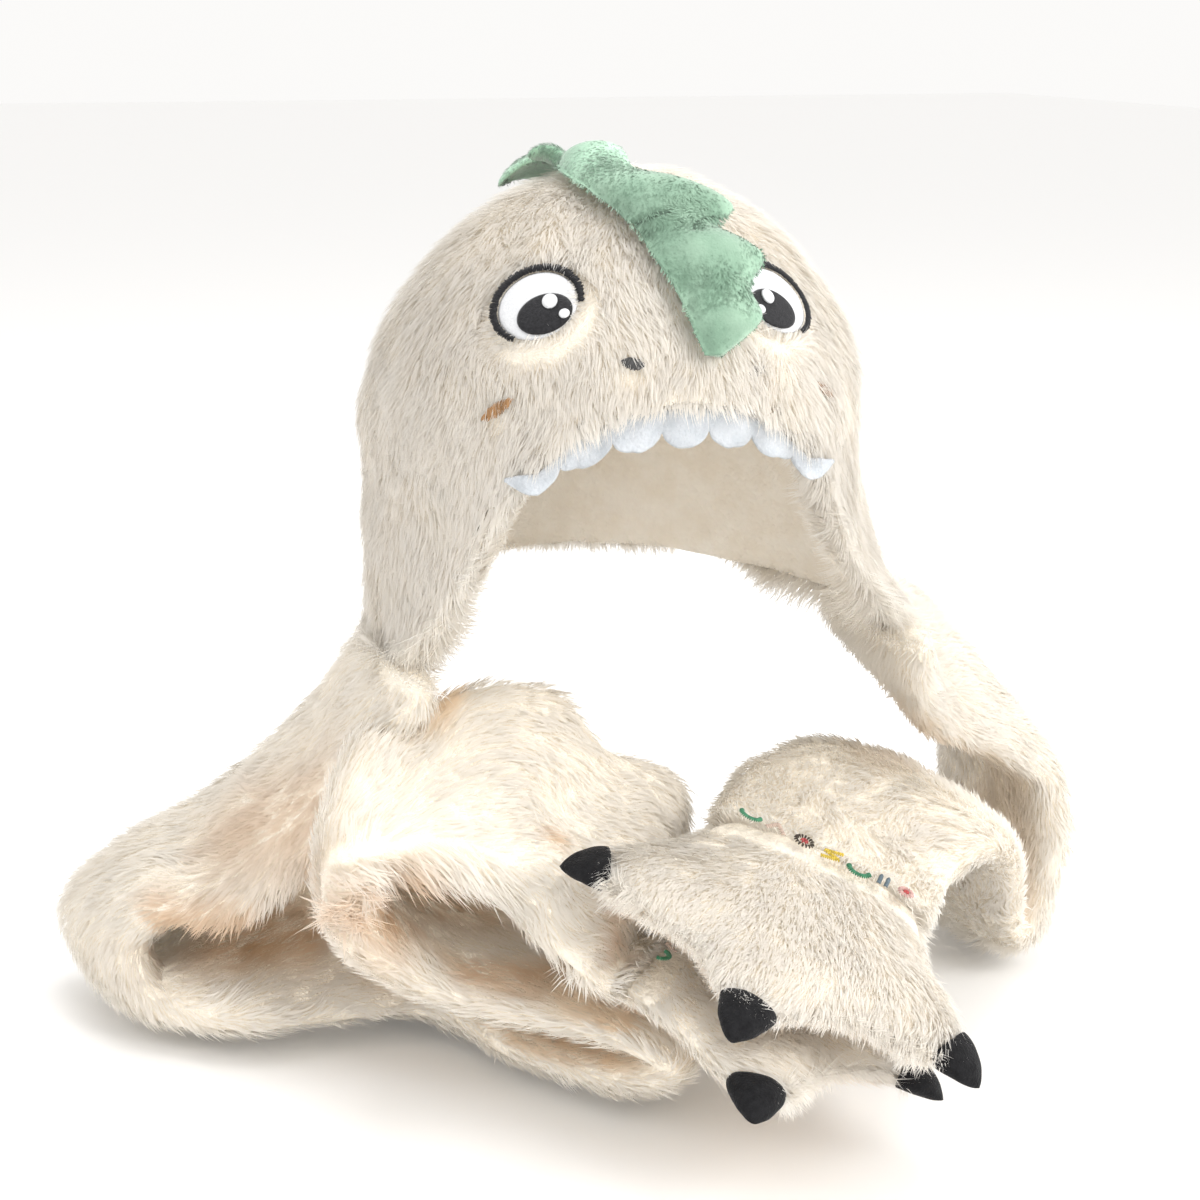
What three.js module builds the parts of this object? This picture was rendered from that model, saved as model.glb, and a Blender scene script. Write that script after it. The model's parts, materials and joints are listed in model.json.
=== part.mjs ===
// Plush dinosaur hood with two long scarf arms that end in three-toed paws.
// Millimetres, +Z up. The face looks along -Y, and +X is the wearer's left.
// The origin is the inner top of the crown, where a head carries the hood.
import * as THREE from 'three';

// Hood sizes
const HALF_WIDTH = 120;
const FRONT_DEPTH = 126;
const BACK_DEPTH = 132;
const DOME_RADIUS = 120;
const CROWN_WALL = 16;
const SIDE_WALL = 17;
const DOME_CENTRE_Z = CROWN_WALL - DOME_RADIUS;
const FRONT_ROUNDNESS = 2.0;
const BACK_ROUNDNESS = 1.74;
const LIP_DROP = 5;
const LIP_STEPS = 2;
const LEFT_FLAP_FLARE = 32;
const MUZZLE_BULGE = 5;

// Height of the hood's lower edge round the head, by degrees from the brow
const EDGE = [
  { from_front: 0, z: -75 },
  { from_front: 12, z: -77 },
  { from_front: 24, z: -87.5 },
  { from_front: 34, z: -106 },
  { from_front: 42, z: -128 },
  { from_front: 50, z: -158 },
  { from_front: 62, z: -186 },
  { from_front: 76, z: -200 },
  { from_front: 92, z: -204 },
  { from_front: 110, z: -203 },
  { from_front: 132, z: -198 },
  { from_front: 156, z: -192 },
  { from_front: 180, z: -190 },
];

// Fur locks, counted in mesh rows and columns, pressed in behind each lock's tip
const HOOD_COLUMNS = 54;
const HOOD_OUTER_ROWS = 20;
const HOOD_INNER_ROWS = 8;
const LOCK_COLUMNS = 3;
const LOCK_ROWS = 2;
const LOCK_DEPTH = 3;
const LOCK_FREE_GAP = 14;

// Face pieces, by degrees round from the brow and up from the dome's centre
const GAP = 0.5;
const PATCH_THICKNESS = 0.9;
const EYE = { right: [-34.8, 33.2], left: [29.6, 32.8], half_width: 20, half_height: 18, tilt: 24 };
const EYE_WHITE_SHARE = 0.92;
const EYE_RIM = { from_turn: -0.1 * Math.PI, to_turn: 1.25 * Math.PI, inner: 0.955, outer: 1, swell: 0.1 };
const PUPIL = { half_width: 12.5, half_height: 9.5, x: 2.4, y: -6.2 };
const HIGHLIGHT = { half_width: 3.4, half_height: 3.6, x: 6.1, y: -1.8 };
const SMALL_HIGHLIGHT = { half_width: 2.4, half_height: 2.2, x: 10.8, y: -9.6 };
const NOSTRIL = { right: [-11.6, 20.4], left: [17.1, 18], half_width: 4.5, half_height: 2.6, tilt: -20 };
const CHEEK_MARK = { right: [-40.5, 10.4], left: [40.5, 11.2], half_width: 8, half_height: 2.8, tilt: 32 };

// Tooth trim: the height of its top edge and its place in from the fur, in mm
const TRIM_SCALLOPS = 7;
const TRIM_THICKNESS = 3;
const TRIM_DEPTH = 18;
const TRIM_SCALLOP_DEPTH = 8;
const TRIM = [
  { around: 0, z: -80.2, inset: 4 },
  { around: 12, z: -82.4, inset: 4 },
  { around: 24, z: -93, inset: 4 },
  { around: 29, z: -102.6, inset: 2 },
  { around: 32, z: -108.4, inset: -1 },
  { around: 34, z: -108.8, inset: -4 },
  { around: 36, z: -109.6, inset: -4 },
  { around: 38.5, z: -111, inset: -4 },
];

// Spikes and valleys of the ridge from the brow to the nape. "up" is the angle
// of the root from the front horizon, "side" its place off the midline, "flop"
// the lean from upright towards the wearer's left, "slide" the shift of the
// free edge along the ridge.
const RIDGE_THICKNESS = 8;
const RIDGE_REST = 1.3;
const RIDGE = [
  { up: 21, side: 9, height: 5, flop: 72, slide: 0 },
  { up: 28, side: 5, height: 27, flop: 78, slide: 0 },
  { up: 35, side: 1, height: 30, flop: 78, slide: 0 },
  { up: 41, side: -3, height: 42, flop: 76, slide: 2 },
  { up: 48, side: -8, height: 32, flop: 74, slide: 0 },
  { up: 56, side: -14, height: 44, flop: 74, slide: -4 },
  { up: 65, side: -22, height: 22, flop: 66, slide: 0 },
  { up: 74, side: -27, height: 24, flop: 64, slide: 2 },
  { up: 82, side: -26, height: 11, flop: 20, slide: 0 },
  { up: 90, side: -22, height: 18, flop: -62, slide: -3 },
  { up: 99, side: -16, height: 14, flop: -66, slide: 0 },
  { up: 109, side: -10, height: 34, flop: -84, slide: 4 },
  { up: 120, side: -6, height: 22, flop: -60, slide: 0 },
  { up: 132, side: -3, height: 38, flop: 20, slide: 8 },
  { up: 143, side: 0, height: 22, flop: 30, slide: 0 },
  { up: 154, side: 0, height: 34, flop: 30, slide: 8 },
  { up: 167, side: 0, height: 5, flop: 20, slide: 0 },
];

// Scarf arms, a row for each section from the ear flap to the wrist. "heading"
// and "tilt" turn the section's width, "wide" and "thick" are its size.
const RIGHT_ARM = [
  { x: -110, y: -14, z: -213, heading: 90, tilt: 0, wide: 122, thick: 24 },
  { x: -116, y: -10, z: -228, heading: 91, tilt: 2, wide: 120, thick: 30 },
  { x: -143, y: 16, z: -278, heading: 88, tilt: 10, wide: 116, thick: 32 },
  { x: -188, y: 42, z: -326, heading: 88, tilt: 12, wide: 116, thick: 32 },
  { x: -230, y: 56, z: -345, heading: 96, tilt: -1, wide: 108, thick: 32 },
  { x: -252, y: 64, z: -369, heading: 104, tilt: -4, wide: 100, thick: 34 },
  { x: -241, y: 50, z: -392, heading: 102, tilt: 0, wide: 104, thick: 32 },
  { x: -197, y: 31, z: -388, heading: 94, tilt: 6, wide: 116, thick: 32 },
  { x: -147, y: 31, z: -379, heading: 88, tilt: 17, wide: 120, thick: 29 },
  { x: -97, y: 26, z: -387, heading: 85, tilt: 11, wide: 116, thick: 26 },
  { x: -52, y: -29, z: -397, heading: 71, tilt: 0, wide: 121, thick: 25 },
  { x: -14, y: -78, z: -395, heading: 68, tilt: 0, wide: 117, thick: 27 },
  { x: 9, y: -99, z: -382, heading: 67, tilt: 1, wide: 116, thick: 29 },
  { x: -17, y: -82, z: -368, heading: 67, tilt: 1, wide: 117, thick: 27 },
  { x: -80, y: -47, z: -357, heading: 71, tilt: 5, wide: 112, thick: 29 },
  { x: -132, y: -48, z: -326, heading: 79, tilt: 9, wide: 103, thick: 32 },
  { x: -142, y: -76, z: -272, heading: 65, tilt: 40, wide: 79, thick: 32 },
  { x: -117, y: -67, z: -263, heading: 64, tilt: 40, wide: 87, thick: 32 },
  { x: -86, y: -65, z: -262, heading: 61, tilt: 38, wide: 107, thick: 32 },
  { x: -59, y: -73, z: -270, heading: 58, tilt: 38, wide: 114, thick: 32 },
  { x: -43, y: -92, z: -289, heading: 55, tilt: 35, wide: 111, thick: 30 },
  { x: -18, y: -92, z: -305, heading: 51, tilt: 19, wide: 136, thick: 28 },
  { x: -16, y: -105, z: -337, heading: 50, tilt: -6, wide: 116, thick: 27 },
  { x: -7, y: -113, z: -340, heading: 50, tilt: -6, wide: 116, thick: 26 },
];
const LEFT_ARM = [
  { x: 142, y: -6, z: -214, heading: 92, tilt: 0, wide: 118, thick: 22 },
  { x: 147, y: -1, z: -229, heading: 92, tilt: 8, wide: 116, thick: 28 },
  { x: 174, y: 26, z: -246, heading: 88, tilt: 30, wide: 114, thick: 30 },
  { x: 211, y: 46, z: -270, heading: 92, tilt: 28, wide: 112, thick: 32 },
  { x: 238, y: 50, z: -304, heading: 100, tilt: 12, wide: 110, thick: 32 },
  { x: 242, y: 42, z: -346, heading: 102, tilt: 2, wide: 108, thick: 30 },
  { x: 229, y: 27, z: -382, heading: 100, tilt: 0, wide: 106, thick: 28 },
  { x: 212, y: 17, z: -394, heading: 100, tilt: 0, wide: 106, thick: 26 },
  { x: 198, y: 4, z: -372, heading: 102, tilt: 2, wide: 106, thick: 28 },
  { x: 188, y: -8, z: -342, heading: 106, tilt: 4, wide: 108, thick: 30 },
  { x: 168, y: -26, z: -316, heading: 116, tilt: 12, wide: 112, thick: 30 },
  { x: 134, y: -50, z: -300, heading: 132, tilt: 18, wide: 114, thick: 30 },
  { x: 98, y: -78, z: -301, heading: 144, tilt: 23, wide: 116, thick: 30 },
  { x: 68, y: -122, z: -303, heading: 149, tilt: 23, wide: 114, thick: 28 },
];
const ARM_SIDES = 16;
const STEPS_PER_ROW = 3;

// Paws, bent downwards from wrist to toes. "heading" is the way the toes point.
const PAW_THICKNESS = 30;
const PALM_RADIUS = 66;
const WRIST_PLANE = -46;
const WRIST_BUMP = { out: 22, spread: 40 };
const MIDDLE_TOE_BUMP = { out: 18, spread: 20 };
const SIDE_TOE_BUMP = { out: 30, spread: 22 };
const SIDE_TOE_ANGLE = 67;
const PAW_BEND_LENGTH = 150;
const LOWER_PAW = {
  x: -5, y: -115, z: -341, heading: -41, wrist_pitch: 14, toe_pitch: 17, roll: -6, size: 0.94,
};
const UPPER_PAW = {
  x: 67, y: -124, z: -303, heading: 235, wrist_pitch: 9, toe_pitch: 4, roll: -23, size: 0.94,
};
const CLAW = { half_width: 14, half_depth: 8, length: 21, gap: 1.2, droop: 5 };

// Small sewn motifs in a row across a paw's wrist
const MOTIF_ROW = -36;
const MOTIFS = [
  { name: 'green_arc', v: -42, half_width: 5.5, half_height: 2.5, color: 0x4f9a72 },
  { name: 'cream_vee', v: -28, half_width: 5, half_height: 4, color: 0xefd9c8 },
  { name: 'dark_dot', v: -13, half_width: 5.5, half_height: 5, color: 0x4b4238 },
  { name: 'yellow_wave', v: 2, half_width: 5.5, half_height: 5.5, color: 0xf0d44a },
  { name: 'green_bow', v: 17, half_width: 6, half_height: 3.5, color: 0x3f8a62 },
  { name: 'grey_bar', v: 30, half_width: 3.5, half_height: 4, color: 0x6f7f86 },
  { name: 'pink_dot', v: 42, half_width: 4, half_height: 3.5, color: 0xe59a94 },
];

const DEGREE = Math.PI / 180;

// Two angles to a unit direction: round from the brow and up from the horizon
function direction(around, up) {
  const level = Math.cos(up * DEGREE);
  return new THREE.Vector3(
    level * Math.sin(around * DEGREE),
    -level * Math.cos(around * DEGREE),
    Math.sin(up * DEGREE),
  );
}

function smooth(low, high, value) {
  const t = Math.min(1, Math.max(0, (value - low) / (high - low)));
  return t * t * (3 - 2 * t);
}

// Straight interpolation in a table by its first column
function lookUp(table, key, column, value) {
  const last = table.length - 1;
  const at = Math.min(table[last][key], Math.max(table[0][key], value));
  let row = 0;
  while (row < last - 1 && table[row + 1][key] < at) row += 1;
  const a = table[row];
  const b = table[row + 1];
  return a[column] + ((b[column] - a[column]) * (at - a[key])) / (b[key] - a[key]);
}

// Catmull-Rom interpolation of one column, at a fractional row number
function splineColumn(table, column, at) {
  const last = table.length - 1;
  const i = Math.min(last - 1, Math.floor(at));
  const f = at - i;
  const value = (row) => table[Math.min(last, Math.max(0, row))][column];
  const [p0, p1, p2, p3] = [value(i - 1), value(i), value(i + 1), value(i + 2)];
  const linear = (p2 - p0) * f;
  const square = (2 * p0 - 5 * p1 + 4 * p2 - p3) * f * f;
  const cube = (3 * p1 - p0 - 3 * p2 + p3) * f * f * f;
  return 0.5 * (2 * p1 + linear + square + cube);
}

// The dome is a super-ellipsoid that is leaner at the back than at the front
function roundness(dir) {
  const level = Math.hypot(dir.x, dir.y);
  const ahead = level > 1e-9 ? -dir.y / level : 0;
  return FRONT_ROUNDNESS + (BACK_ROUNDNESS - FRONT_ROUNDNESS) * smooth(0.3, -0.4, ahead);
}

function depthTowards(dir) {
  return dir.y < 0 ? FRONT_DEPTH : BACK_DEPTH;
}

// Outer surface above the dome's centre, along a direction from that centre
function domePoint(dir, inset = 0, crownInset = inset) {
  const power = roundness(dir);
  const level = Math.hypot(dir.x, dir.y);
  const height = Math.abs(dir.z);
  const reach = 1 / (level ** power + height ** power) ** (1 / power);
  return new THREE.Vector3(
    (HALF_WIDTH - inset) * dir.x * reach,
    (depthTowards(dir) - inset) * dir.y * reach,
    DOME_CENTRE_Z + (DOME_RADIUS - crownInset) * dir.z * reach,
  );
}

function domeNormal(dir) {
  const p = domePoint(dir);
  return new THREE.Vector3(
    p.x / HALF_WIDTH ** 2,
    p.y / depthTowards(dir) ** 2,
    (p.z - DOME_CENTRE_Z) / DOME_RADIUS ** 2,
  ).normalize();
}

// The wearer's left flap stands out where its arm pulls it
function flare(around, z) {
  const low = Math.max(0, (-120 - z) / 90) ** 1.5;
  return LEFT_FLAP_FLARE * low * Math.max(0, Math.sin(around * DEGREE)) ** 2;
}

function edgeHeight(around) {
  const turned = Math.abs(((((around + 180) % 360) + 360) % 360) - 180);
  return lookUp(EDGE, 'from_front', 'z', turned);
}

// Point of a hood wall: down the dome and then straight down the side
function wallPoint(around, along, inset, crownInset, drop = 0) {
  const rise = DOME_RADIUS - crownInset;
  const bend = (rise * Math.PI) / 2;
  const edge = edgeHeight(around);
  const brow = edge > DOME_CENTRE_Z ? Math.asin((edge - DOME_CENTRE_Z) / rise) / DEGREE : 0;
  const whole = edge > DOME_CENTRE_Z ? bend * (1 - brow / 90) : bend + DOME_CENTRE_Z - edge;
  const walked = along * whole;
  const up = Math.max(0, 90 * (1 - walked / bend));
  const p = domePoint(direction(around, up), inset, crownInset);
  p.z -= Math.max(0, walked - bend) + drop;
  p.x += flare(around, p.z);
  const muzzle = Math.exp(-((around / 34) ** 2)) * smooth(-20, -70, p.z);
  p.y -= MUZZLE_BULGE * muzzle * (inset > 0 ? 0 : 1);
  return p;
}

// Depth that the fur is pressed in by, nothing at the tip of a lock
function lockPress(column, row) {
  const band = Math.floor(row / LOCK_ROWS);
  const across = (column + (band % 2) * (LOCK_COLUMNS / 2)) / LOCK_COLUMNS;
  const side = Math.abs(2 * (across - Math.floor(across)) - 1);
  const tip = (row % LOCK_ROWS) / LOCK_ROWS;
  return LOCK_DEPTH * (tip + 0.5 * side) / 1.5;
}

// Closed body from rings of points, with a pole point or a flat cap at each end
function bodyFromRings(rings, startPole, endPole) {
  const sides = rings[0].length;
  const points = [];
  const faces = [];
  rings.forEach((ring) => ring.forEach((p) => points.push(p.x, p.y, p.z)));
  for (let r = 0; r + 1 < rings.length; r += 1) {
    for (let s = 0; s < sides; s += 1) {
      const next = (s + 1) % sides;
      const a = r * sides + s;
      const b = r * sides + next;
      const c = (r + 1) * sides + next;
      const d = (r + 1) * sides + s;
      faces.push(a, b, c, a, c, d);
    }
  }
  const centre = (ring) => ring.reduce((sum, p) => sum.add(p), new THREE.Vector3()).divideScalar(sides);
  const poles = [startPole ?? centre(rings[0]), endPole ?? centre(rings[rings.length - 1])];
  poles.forEach((p, i) => {
    const pole = points.length / 3;
    points.push(p.x, p.y, p.z);
    const first = i === 0 ? 0 : (rings.length - 1) * sides;
    for (let s = 0; s < sides; s += 1) {
      const a = first + s;
      const b = first + ((s + 1) % sides);
      if (i === 0) faces.push(pole, b, a);
      else faces.push(pole, a, b);
    }
  });
  return outwards(points, faces);
}

// Geometry whose faces point out, turned round where its volume is negative
function outwards(points, faces) {
  let volume = 0;
  const corner = (i) => new THREE.Vector3(points[3 * i], points[3 * i + 1], points[3 * i + 2]);
  for (let f = 0; f < faces.length; f += 3) {
    volume += corner(faces[f]).dot(corner(faces[f + 1]).cross(corner(faces[f + 2])));
  }
  const turned = [];
  for (let f = 0; f < faces.length; f += 3) {
    if (volume < 0) turned.push(faces[f], faces[f + 2], faces[f + 1]);
    else turned.push(faces[f], faces[f + 1], faces[f + 2]);
  }
  const geometry = new THREE.BufferGeometry();
  geometry.setAttribute('position', new THREE.Float32BufferAttribute(points, 3));
  geometry.setIndex(turned);
  geometry.computeVertexNormals();
  return geometry;
}

// Closed body between two grids of points of the same size
function bodyFromSheets(top, bottom) {
  const rows = top.length;
  const columns = top[0].length;
  const points = [];
  const faces = [];
  [top, bottom].forEach((sheet) => sheet.forEach((row) => row.forEach((p) => points.push(p.x, p.y, p.z))));
  const index = (side, r, c) => side * rows * columns + r * columns + c;
  const quad = (a, b, c, d) => faces.push(a, b, c, a, c, d);
  for (let r = 0; r + 1 < rows; r += 1) {
    for (let c = 0; c + 1 < columns; c += 1) {
      quad(index(0, r, c), index(0, r, c + 1), index(0, r + 1, c + 1), index(0, r + 1, c));
      quad(index(1, r, c), index(1, r + 1, c), index(1, r + 1, c + 1), index(1, r, c + 1));
    }
  }
  for (let c = 0; c + 1 < columns; c += 1) {
    quad(index(0, 0, c + 1), index(0, 0, c), index(1, 0, c), index(1, 0, c + 1));
    const r = rows - 1;
    quad(index(0, r, c), index(0, r, c + 1), index(1, r, c + 1), index(1, r, c));
  }
  for (let r = 0; r + 1 < rows; r += 1) {
    quad(index(0, r, 0), index(0, r + 1, 0), index(1, r + 1, 0), index(1, r, 0));
    const c = columns - 1;
    quad(index(0, r + 1, c), index(0, r, c), index(1, r, c), index(1, r + 1, c));
  }
  return outwards(points, faces);
}

const group = new THREE.Group();

function addPiece(name, geometry, material) {
  const mesh = new THREE.Mesh(geometry, material.clone());
  mesh.name = name;
  group.add(mesh);
}

const FUR = new THREE.MeshStandardMaterial({ color: 0xf3ece0, roughness: 0.95, metalness: 0 });
const GREEN_PLUSH = new THREE.MeshStandardMaterial({ color: 0x7faa88, roughness: 0.9, metalness: 0 });
const FLEECE = new THREE.MeshStandardMaterial({ color: 0xdfe4e8, roughness: 0.95, metalness: 0 });
const BLACK_CLOTH = new THREE.MeshStandardMaterial({ color: 0x0c0c10, roughness: 0.8, metalness: 0 });
const WHITE_PATCH = new THREE.MeshStandardMaterial({ color: 0xf2f2f0, roughness: 0.7, metalness: 0 });
const GREY_THREAD = new THREE.MeshStandardMaterial({ color: 0x4a4a4a, roughness: 0.6, metalness: 0 });
const BROWN_THREAD = new THREE.MeshStandardMaterial({ color: 0xb5855a, roughness: 0.6, metalness: 0 });

// Hood: outer wall from the crown down, round the lip, and up the inner wall
function hoodGeometry() {
  const rings = [];
  const arounds = Array.from({ length: HOOD_COLUMNS }, (_, c) => (360 * c) / HOOD_COLUMNS - 180);
  for (let row = 1; row <= HOOD_OUTER_ROWS; row += 1) {
    rings.push(arounds.map((around, column) => {
      const along = row / HOOD_OUTER_ROWS;
      const p = wallPoint(around, along, 0, 0);
      const centre = new THREE.Vector3(0, 0, Math.min(p.z, DOME_CENTRE_Z));
      const outward = p.clone().sub(centre).normalize();
      const calm = clearOfFacePieces(p);
      return p.addScaledVector(outward, -lockPress(column, row) * calm);
    }));
  }
  for (let step = 1; step <= LIP_STEPS; step += 1) {
    const turn = (Math.PI * step) / (LIP_STEPS + 1);
    const inset = (SIDE_WALL * (1 - Math.cos(turn))) / 2;
    rings.push(arounds.map((around) => wallPoint(around, 1, inset, inset, LIP_DROP * Math.sin(turn))));
  }
  for (let row = HOOD_INNER_ROWS; row >= 1; row -= 1) {
    const along = row / HOOD_INNER_ROWS;
    rings.push(arounds.map((around) => wallPoint(around, along, SIDE_WALL, CROWN_WALL)));
  }
  const outerPole = new THREE.Vector3(0, 0, CROWN_WALL - LOCK_DEPTH / 2);
  return bodyFromRings(rings, outerPole, new THREE.Vector3(0, 0, 0));
}

// One beside the face pieces' edges and falling to nothing under them
function clearOfFacePieces(p) {
  let calm = 1;
  [EYE, NOSTRIL, CHEEK_MARK].forEach((piece) => {
    [piece.right, piece.left].forEach((spot) => {
      const centre = domePoint(direction(...spot));
      const edge = piece.half_width + LOCK_FREE_GAP / 2;
      calm *= smooth(edge, edge + LOCK_FREE_GAP, p.distanceTo(centre));
    });
  });
  return calm;
}

// Place on the hood beside a spot: across and up in mm, and lift from the fur
function besideSpot(spot, across, up, lift) {
  const dir = direction(spot.around, spot.up);
  const right = new THREE.Vector3(Math.cos(spot.around * DEGREE), Math.sin(spot.around * DEGREE), 0);
  const above = new THREE.Vector3().crossVectors(dir, right).normalize();
  const aside = dir.clone();
  aside.addScaledVector(right, across / HALF_WIDTH);
  aside.addScaledVector(above, up / HALF_WIDTH);
  aside.normalize();
  const p = domePoint(aside);
  const muzzle = Math.exp(-((spot.around / 34) ** 2)) * smooth(-20, -70, p.z);
  return p.addScaledVector(domeNormal(aside), lift + MUZZLE_BULGE * muzzle);
}

// Place in a tilted face piece, from its own level and upright millimetres
function inFacePiece(spot, x, y, lift) {
  const side = Math.sign(spot.around);
  const tilt = spot.tilt * DEGREE;
  const across = x * Math.cos(tilt) - y * Math.sin(tilt);
  const up = x * Math.sin(tilt) + y * Math.cos(tilt);
  return besideSpot(spot, -side * across, up, lift);
}

// Flat oval patch on the hood, set off from its spot by the oval's x and y
function patchGeometry(spot, shape, base, sides = 20, ringCount = 2) {
  const x0 = shape.x ?? 0;
  const y0 = shape.y ?? 0;
  const at = (turn, share, lift) => inFacePiece(
    spot,
    x0 + shape.half_width * share * Math.cos(turn),
    y0 + shape.half_height * share * Math.sin(turn),
    lift,
  );
  const turns = Array.from({ length: sides }, (_, s) => (2 * Math.PI * s) / sides);
  const shares = Array.from({ length: ringCount }, (_, r) => (r + 1) / ringCount);
  const top = shares.map((share) => turns.map((turn) => at(turn, share, base + PATCH_THICKNESS)));
  const bottom = shares.map((share) => turns.map((turn) => at(turn, share, base))).reverse();
  return bodyFromRings([...top, ...bottom], at(0, 0, base + PATCH_THICKNESS), at(0, 0, base));
}

// Arc of thread round an eye, a little wider at the middle of its length
function eyeRimGeometry(spot, base, steps = 22) {
  const at = (turn, share, lift) => inFacePiece(
    spot,
    EYE.half_width * share * Math.cos(turn),
    EYE.half_height * share * Math.sin(turn),
    lift,
  );
  const sheet = (lift) => ['inner', 'outer'].map((edge) => Array.from({ length: steps + 1 }, (_, s) => {
    const part = s / steps;
    const turn = EYE_RIM.from_turn + (EYE_RIM.to_turn - EYE_RIM.from_turn) * part;
    const swell = edge === 'outer' ? EYE_RIM.swell * Math.sin(Math.PI * part) : 0;
    return at(turn, EYE_RIM[edge] + swell, lift);
  }));
  return bodyFromSheets(sheet(base + PATCH_THICKNESS), sheet(base));
}

// Ridge: a padded sheet that stands on its root line and flops to a side
function ridgeGeometry() {
  const steps = (RIDGE.length - 1) * 3;
  const shares = [0, 0.3, 0.62, 0.88, 1];
  const sheets = [1, -1].map((face) => Array.from({ length: steps + 1 }, (_, s) => {
    const at = (s * (RIDGE.length - 1)) / steps;
    const value = (column) => splineColumn(RIDGE, column, at);
    return shares.map((share) => {
      const tall = Math.max(4, value('height')) * share;
      const flop = value('flop') * DEGREE * (0.45 + 0.55 * share);
      const half = (RIDGE_THICKNESS / 2) * Math.sqrt(Math.max(0.02, 1 - share ** 3));
      const alongHood = value('up') + (value('slide') * share) / HALF_WIDTH / DEGREE;
      const sideways = value('side') + tall * Math.sin(flop) - face * half * Math.cos(flop);
      const rest = RIDGE_THICKNESS / 2 + RIDGE_REST;
      const lift = Math.max(rest, tall * Math.cos(flop) + rest * Math.abs(Math.sin(flop)));
      return besideMidline(alongHood, sideways, Math.max(RIDGE_REST, lift + face * half * Math.sin(flop)));
    });
  }));
  return bodyFromSheets(sheets[0], sheets[1]);
}

// Place over the midline: an angle from the front horizon, mm aside and a lift
function besideMidline(up, sideways, lift) {
  const dir = new THREE.Vector3(0, -Math.cos(up * DEGREE), Math.sin(up * DEGREE));
  const aside = sideways / HALF_WIDTH;
  const lean = dir.multiplyScalar(Math.cos(aside)).add(new THREE.Vector3(Math.sin(aside), 0, 0));
  const p = domePoint(lean);
  const muzzle = up < 90 ? smooth(-20, -70, p.z) : 0;
  return p.addScaledVector(domeNormal(lean), lift + MUZZLE_BULGE * muzzle);
}

// Tooth trim: a scalloped strip below the brow whose ends lie on the fur
function trimGeometry() {
  const steps = TRIM_SCALLOPS * 6;
  const widest = TRIM[TRIM.length - 1].around;
  const sheet = (thickness) => [0, 0.5, 1].map((share) => Array.from({ length: steps + 1 }, (_, s) => {
    const part = s / steps;
    const around = widest * (2 * part - 1);
    const end = Math.max(0.2, Math.sin(Math.PI * part) ** 0.4);
    const scallop = Math.abs(Math.sin(Math.PI * TRIM_SCALLOPS * part)) ** 0.6;
    const deep = (TRIM_DEPTH - TRIM_SCALLOP_DEPTH * (1 - scallop)) * end;
    const inset = lookUp(TRIM, 'around', 'inset', Math.abs(around)) + thickness;
    const p = wallPoint(around, 1, 0, 0);
    const level = new THREE.Vector3(p.x, p.y, 0).normalize();
    p.addScaledVector(level, -inset);
    p.z = lookUp(TRIM, 'around', 'z', Math.abs(around)) - deep * share;
    return p;
  }));
  return bodyFromSheets(sheet(TRIM_THICKNESS), sheet(0));
}

// Arm: flat oval sections carried along the table's route
function armGeometry(table) {
  const count = (table.length - 1) * STEPS_PER_ROW;
  const stations = Array.from({ length: count + 1 }, (_, s) => s / STEPS_PER_ROW);
  const centre = (at) => new THREE.Vector3(
    splineColumn(table, 'x', at),
    splineColumn(table, 'y', at),
    splineColumn(table, 'z', at),
  );
  const rings = stations.map((at, station) => {
    const next = centre(Math.min(table.length - 1, at + 0.02));
    const ahead = next.sub(centre(Math.max(0, at - 0.02))).normalize();
    const heading = splineColumn(table, 'heading', at) * DEGREE;
    const tilt = splineColumn(table, 'tilt', at) * DEGREE;
    const wide = new THREE.Vector3(
      Math.cos(heading) * Math.cos(tilt),
      Math.sin(heading) * Math.cos(tilt),
      Math.sin(tilt),
    );
    const through = new THREE.Vector3().crossVectors(ahead, wide).normalize();
    const middle = centre(at);
    return Array.from({ length: ARM_SIDES }, (_, side) => {
      const turn = (2 * Math.PI * side) / ARM_SIDES;
      const press = 1 - (armLockPress(side, station) / splineColumn(table, 'thick', at));
      const a = Math.sign(Math.cos(turn)) * Math.abs(Math.cos(turn)) ** 0.75;
      const b = Math.sign(Math.sin(turn)) * Math.abs(Math.sin(turn)) ** 0.85;
      return middle.clone()
        .addScaledVector(wide, (a * splineColumn(table, 'wide', at)) / 2)
        .addScaledVector(through, (b * press * splineColumn(table, 'thick', at)) / 2);
    });
  });
  return bodyFromRings(rings);
}

function armLockPress(side, station) {
  const across = (side + (Math.floor(station / LOCK_ROWS) % 2)) % 2;
  const tip = (station % LOCK_ROWS) / LOCK_ROWS;
  return LOCK_DEPTH * (tip + 0.5 * across) / 1.5;
}

// Distance from the palm's centre to the paw's edge, by degrees from the toes
function pawReach(turn) {
  const bump = (at, shape) => {
    const off = ((((turn - at + 180) % 360) + 360) % 360) - 180;
    return shape.out * Math.exp(-((off / shape.spread) ** 2));
  };
  const sideToes = bump(SIDE_TOE_ANGLE, SIDE_TOE_BUMP) + bump(-SIDE_TOE_ANGLE, SIDE_TOE_BUMP);
  return PALM_RADIUS + bump(0, MIDDLE_TOE_BUMP) + sideToes + bump(180, WRIST_BUMP);
}

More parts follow.
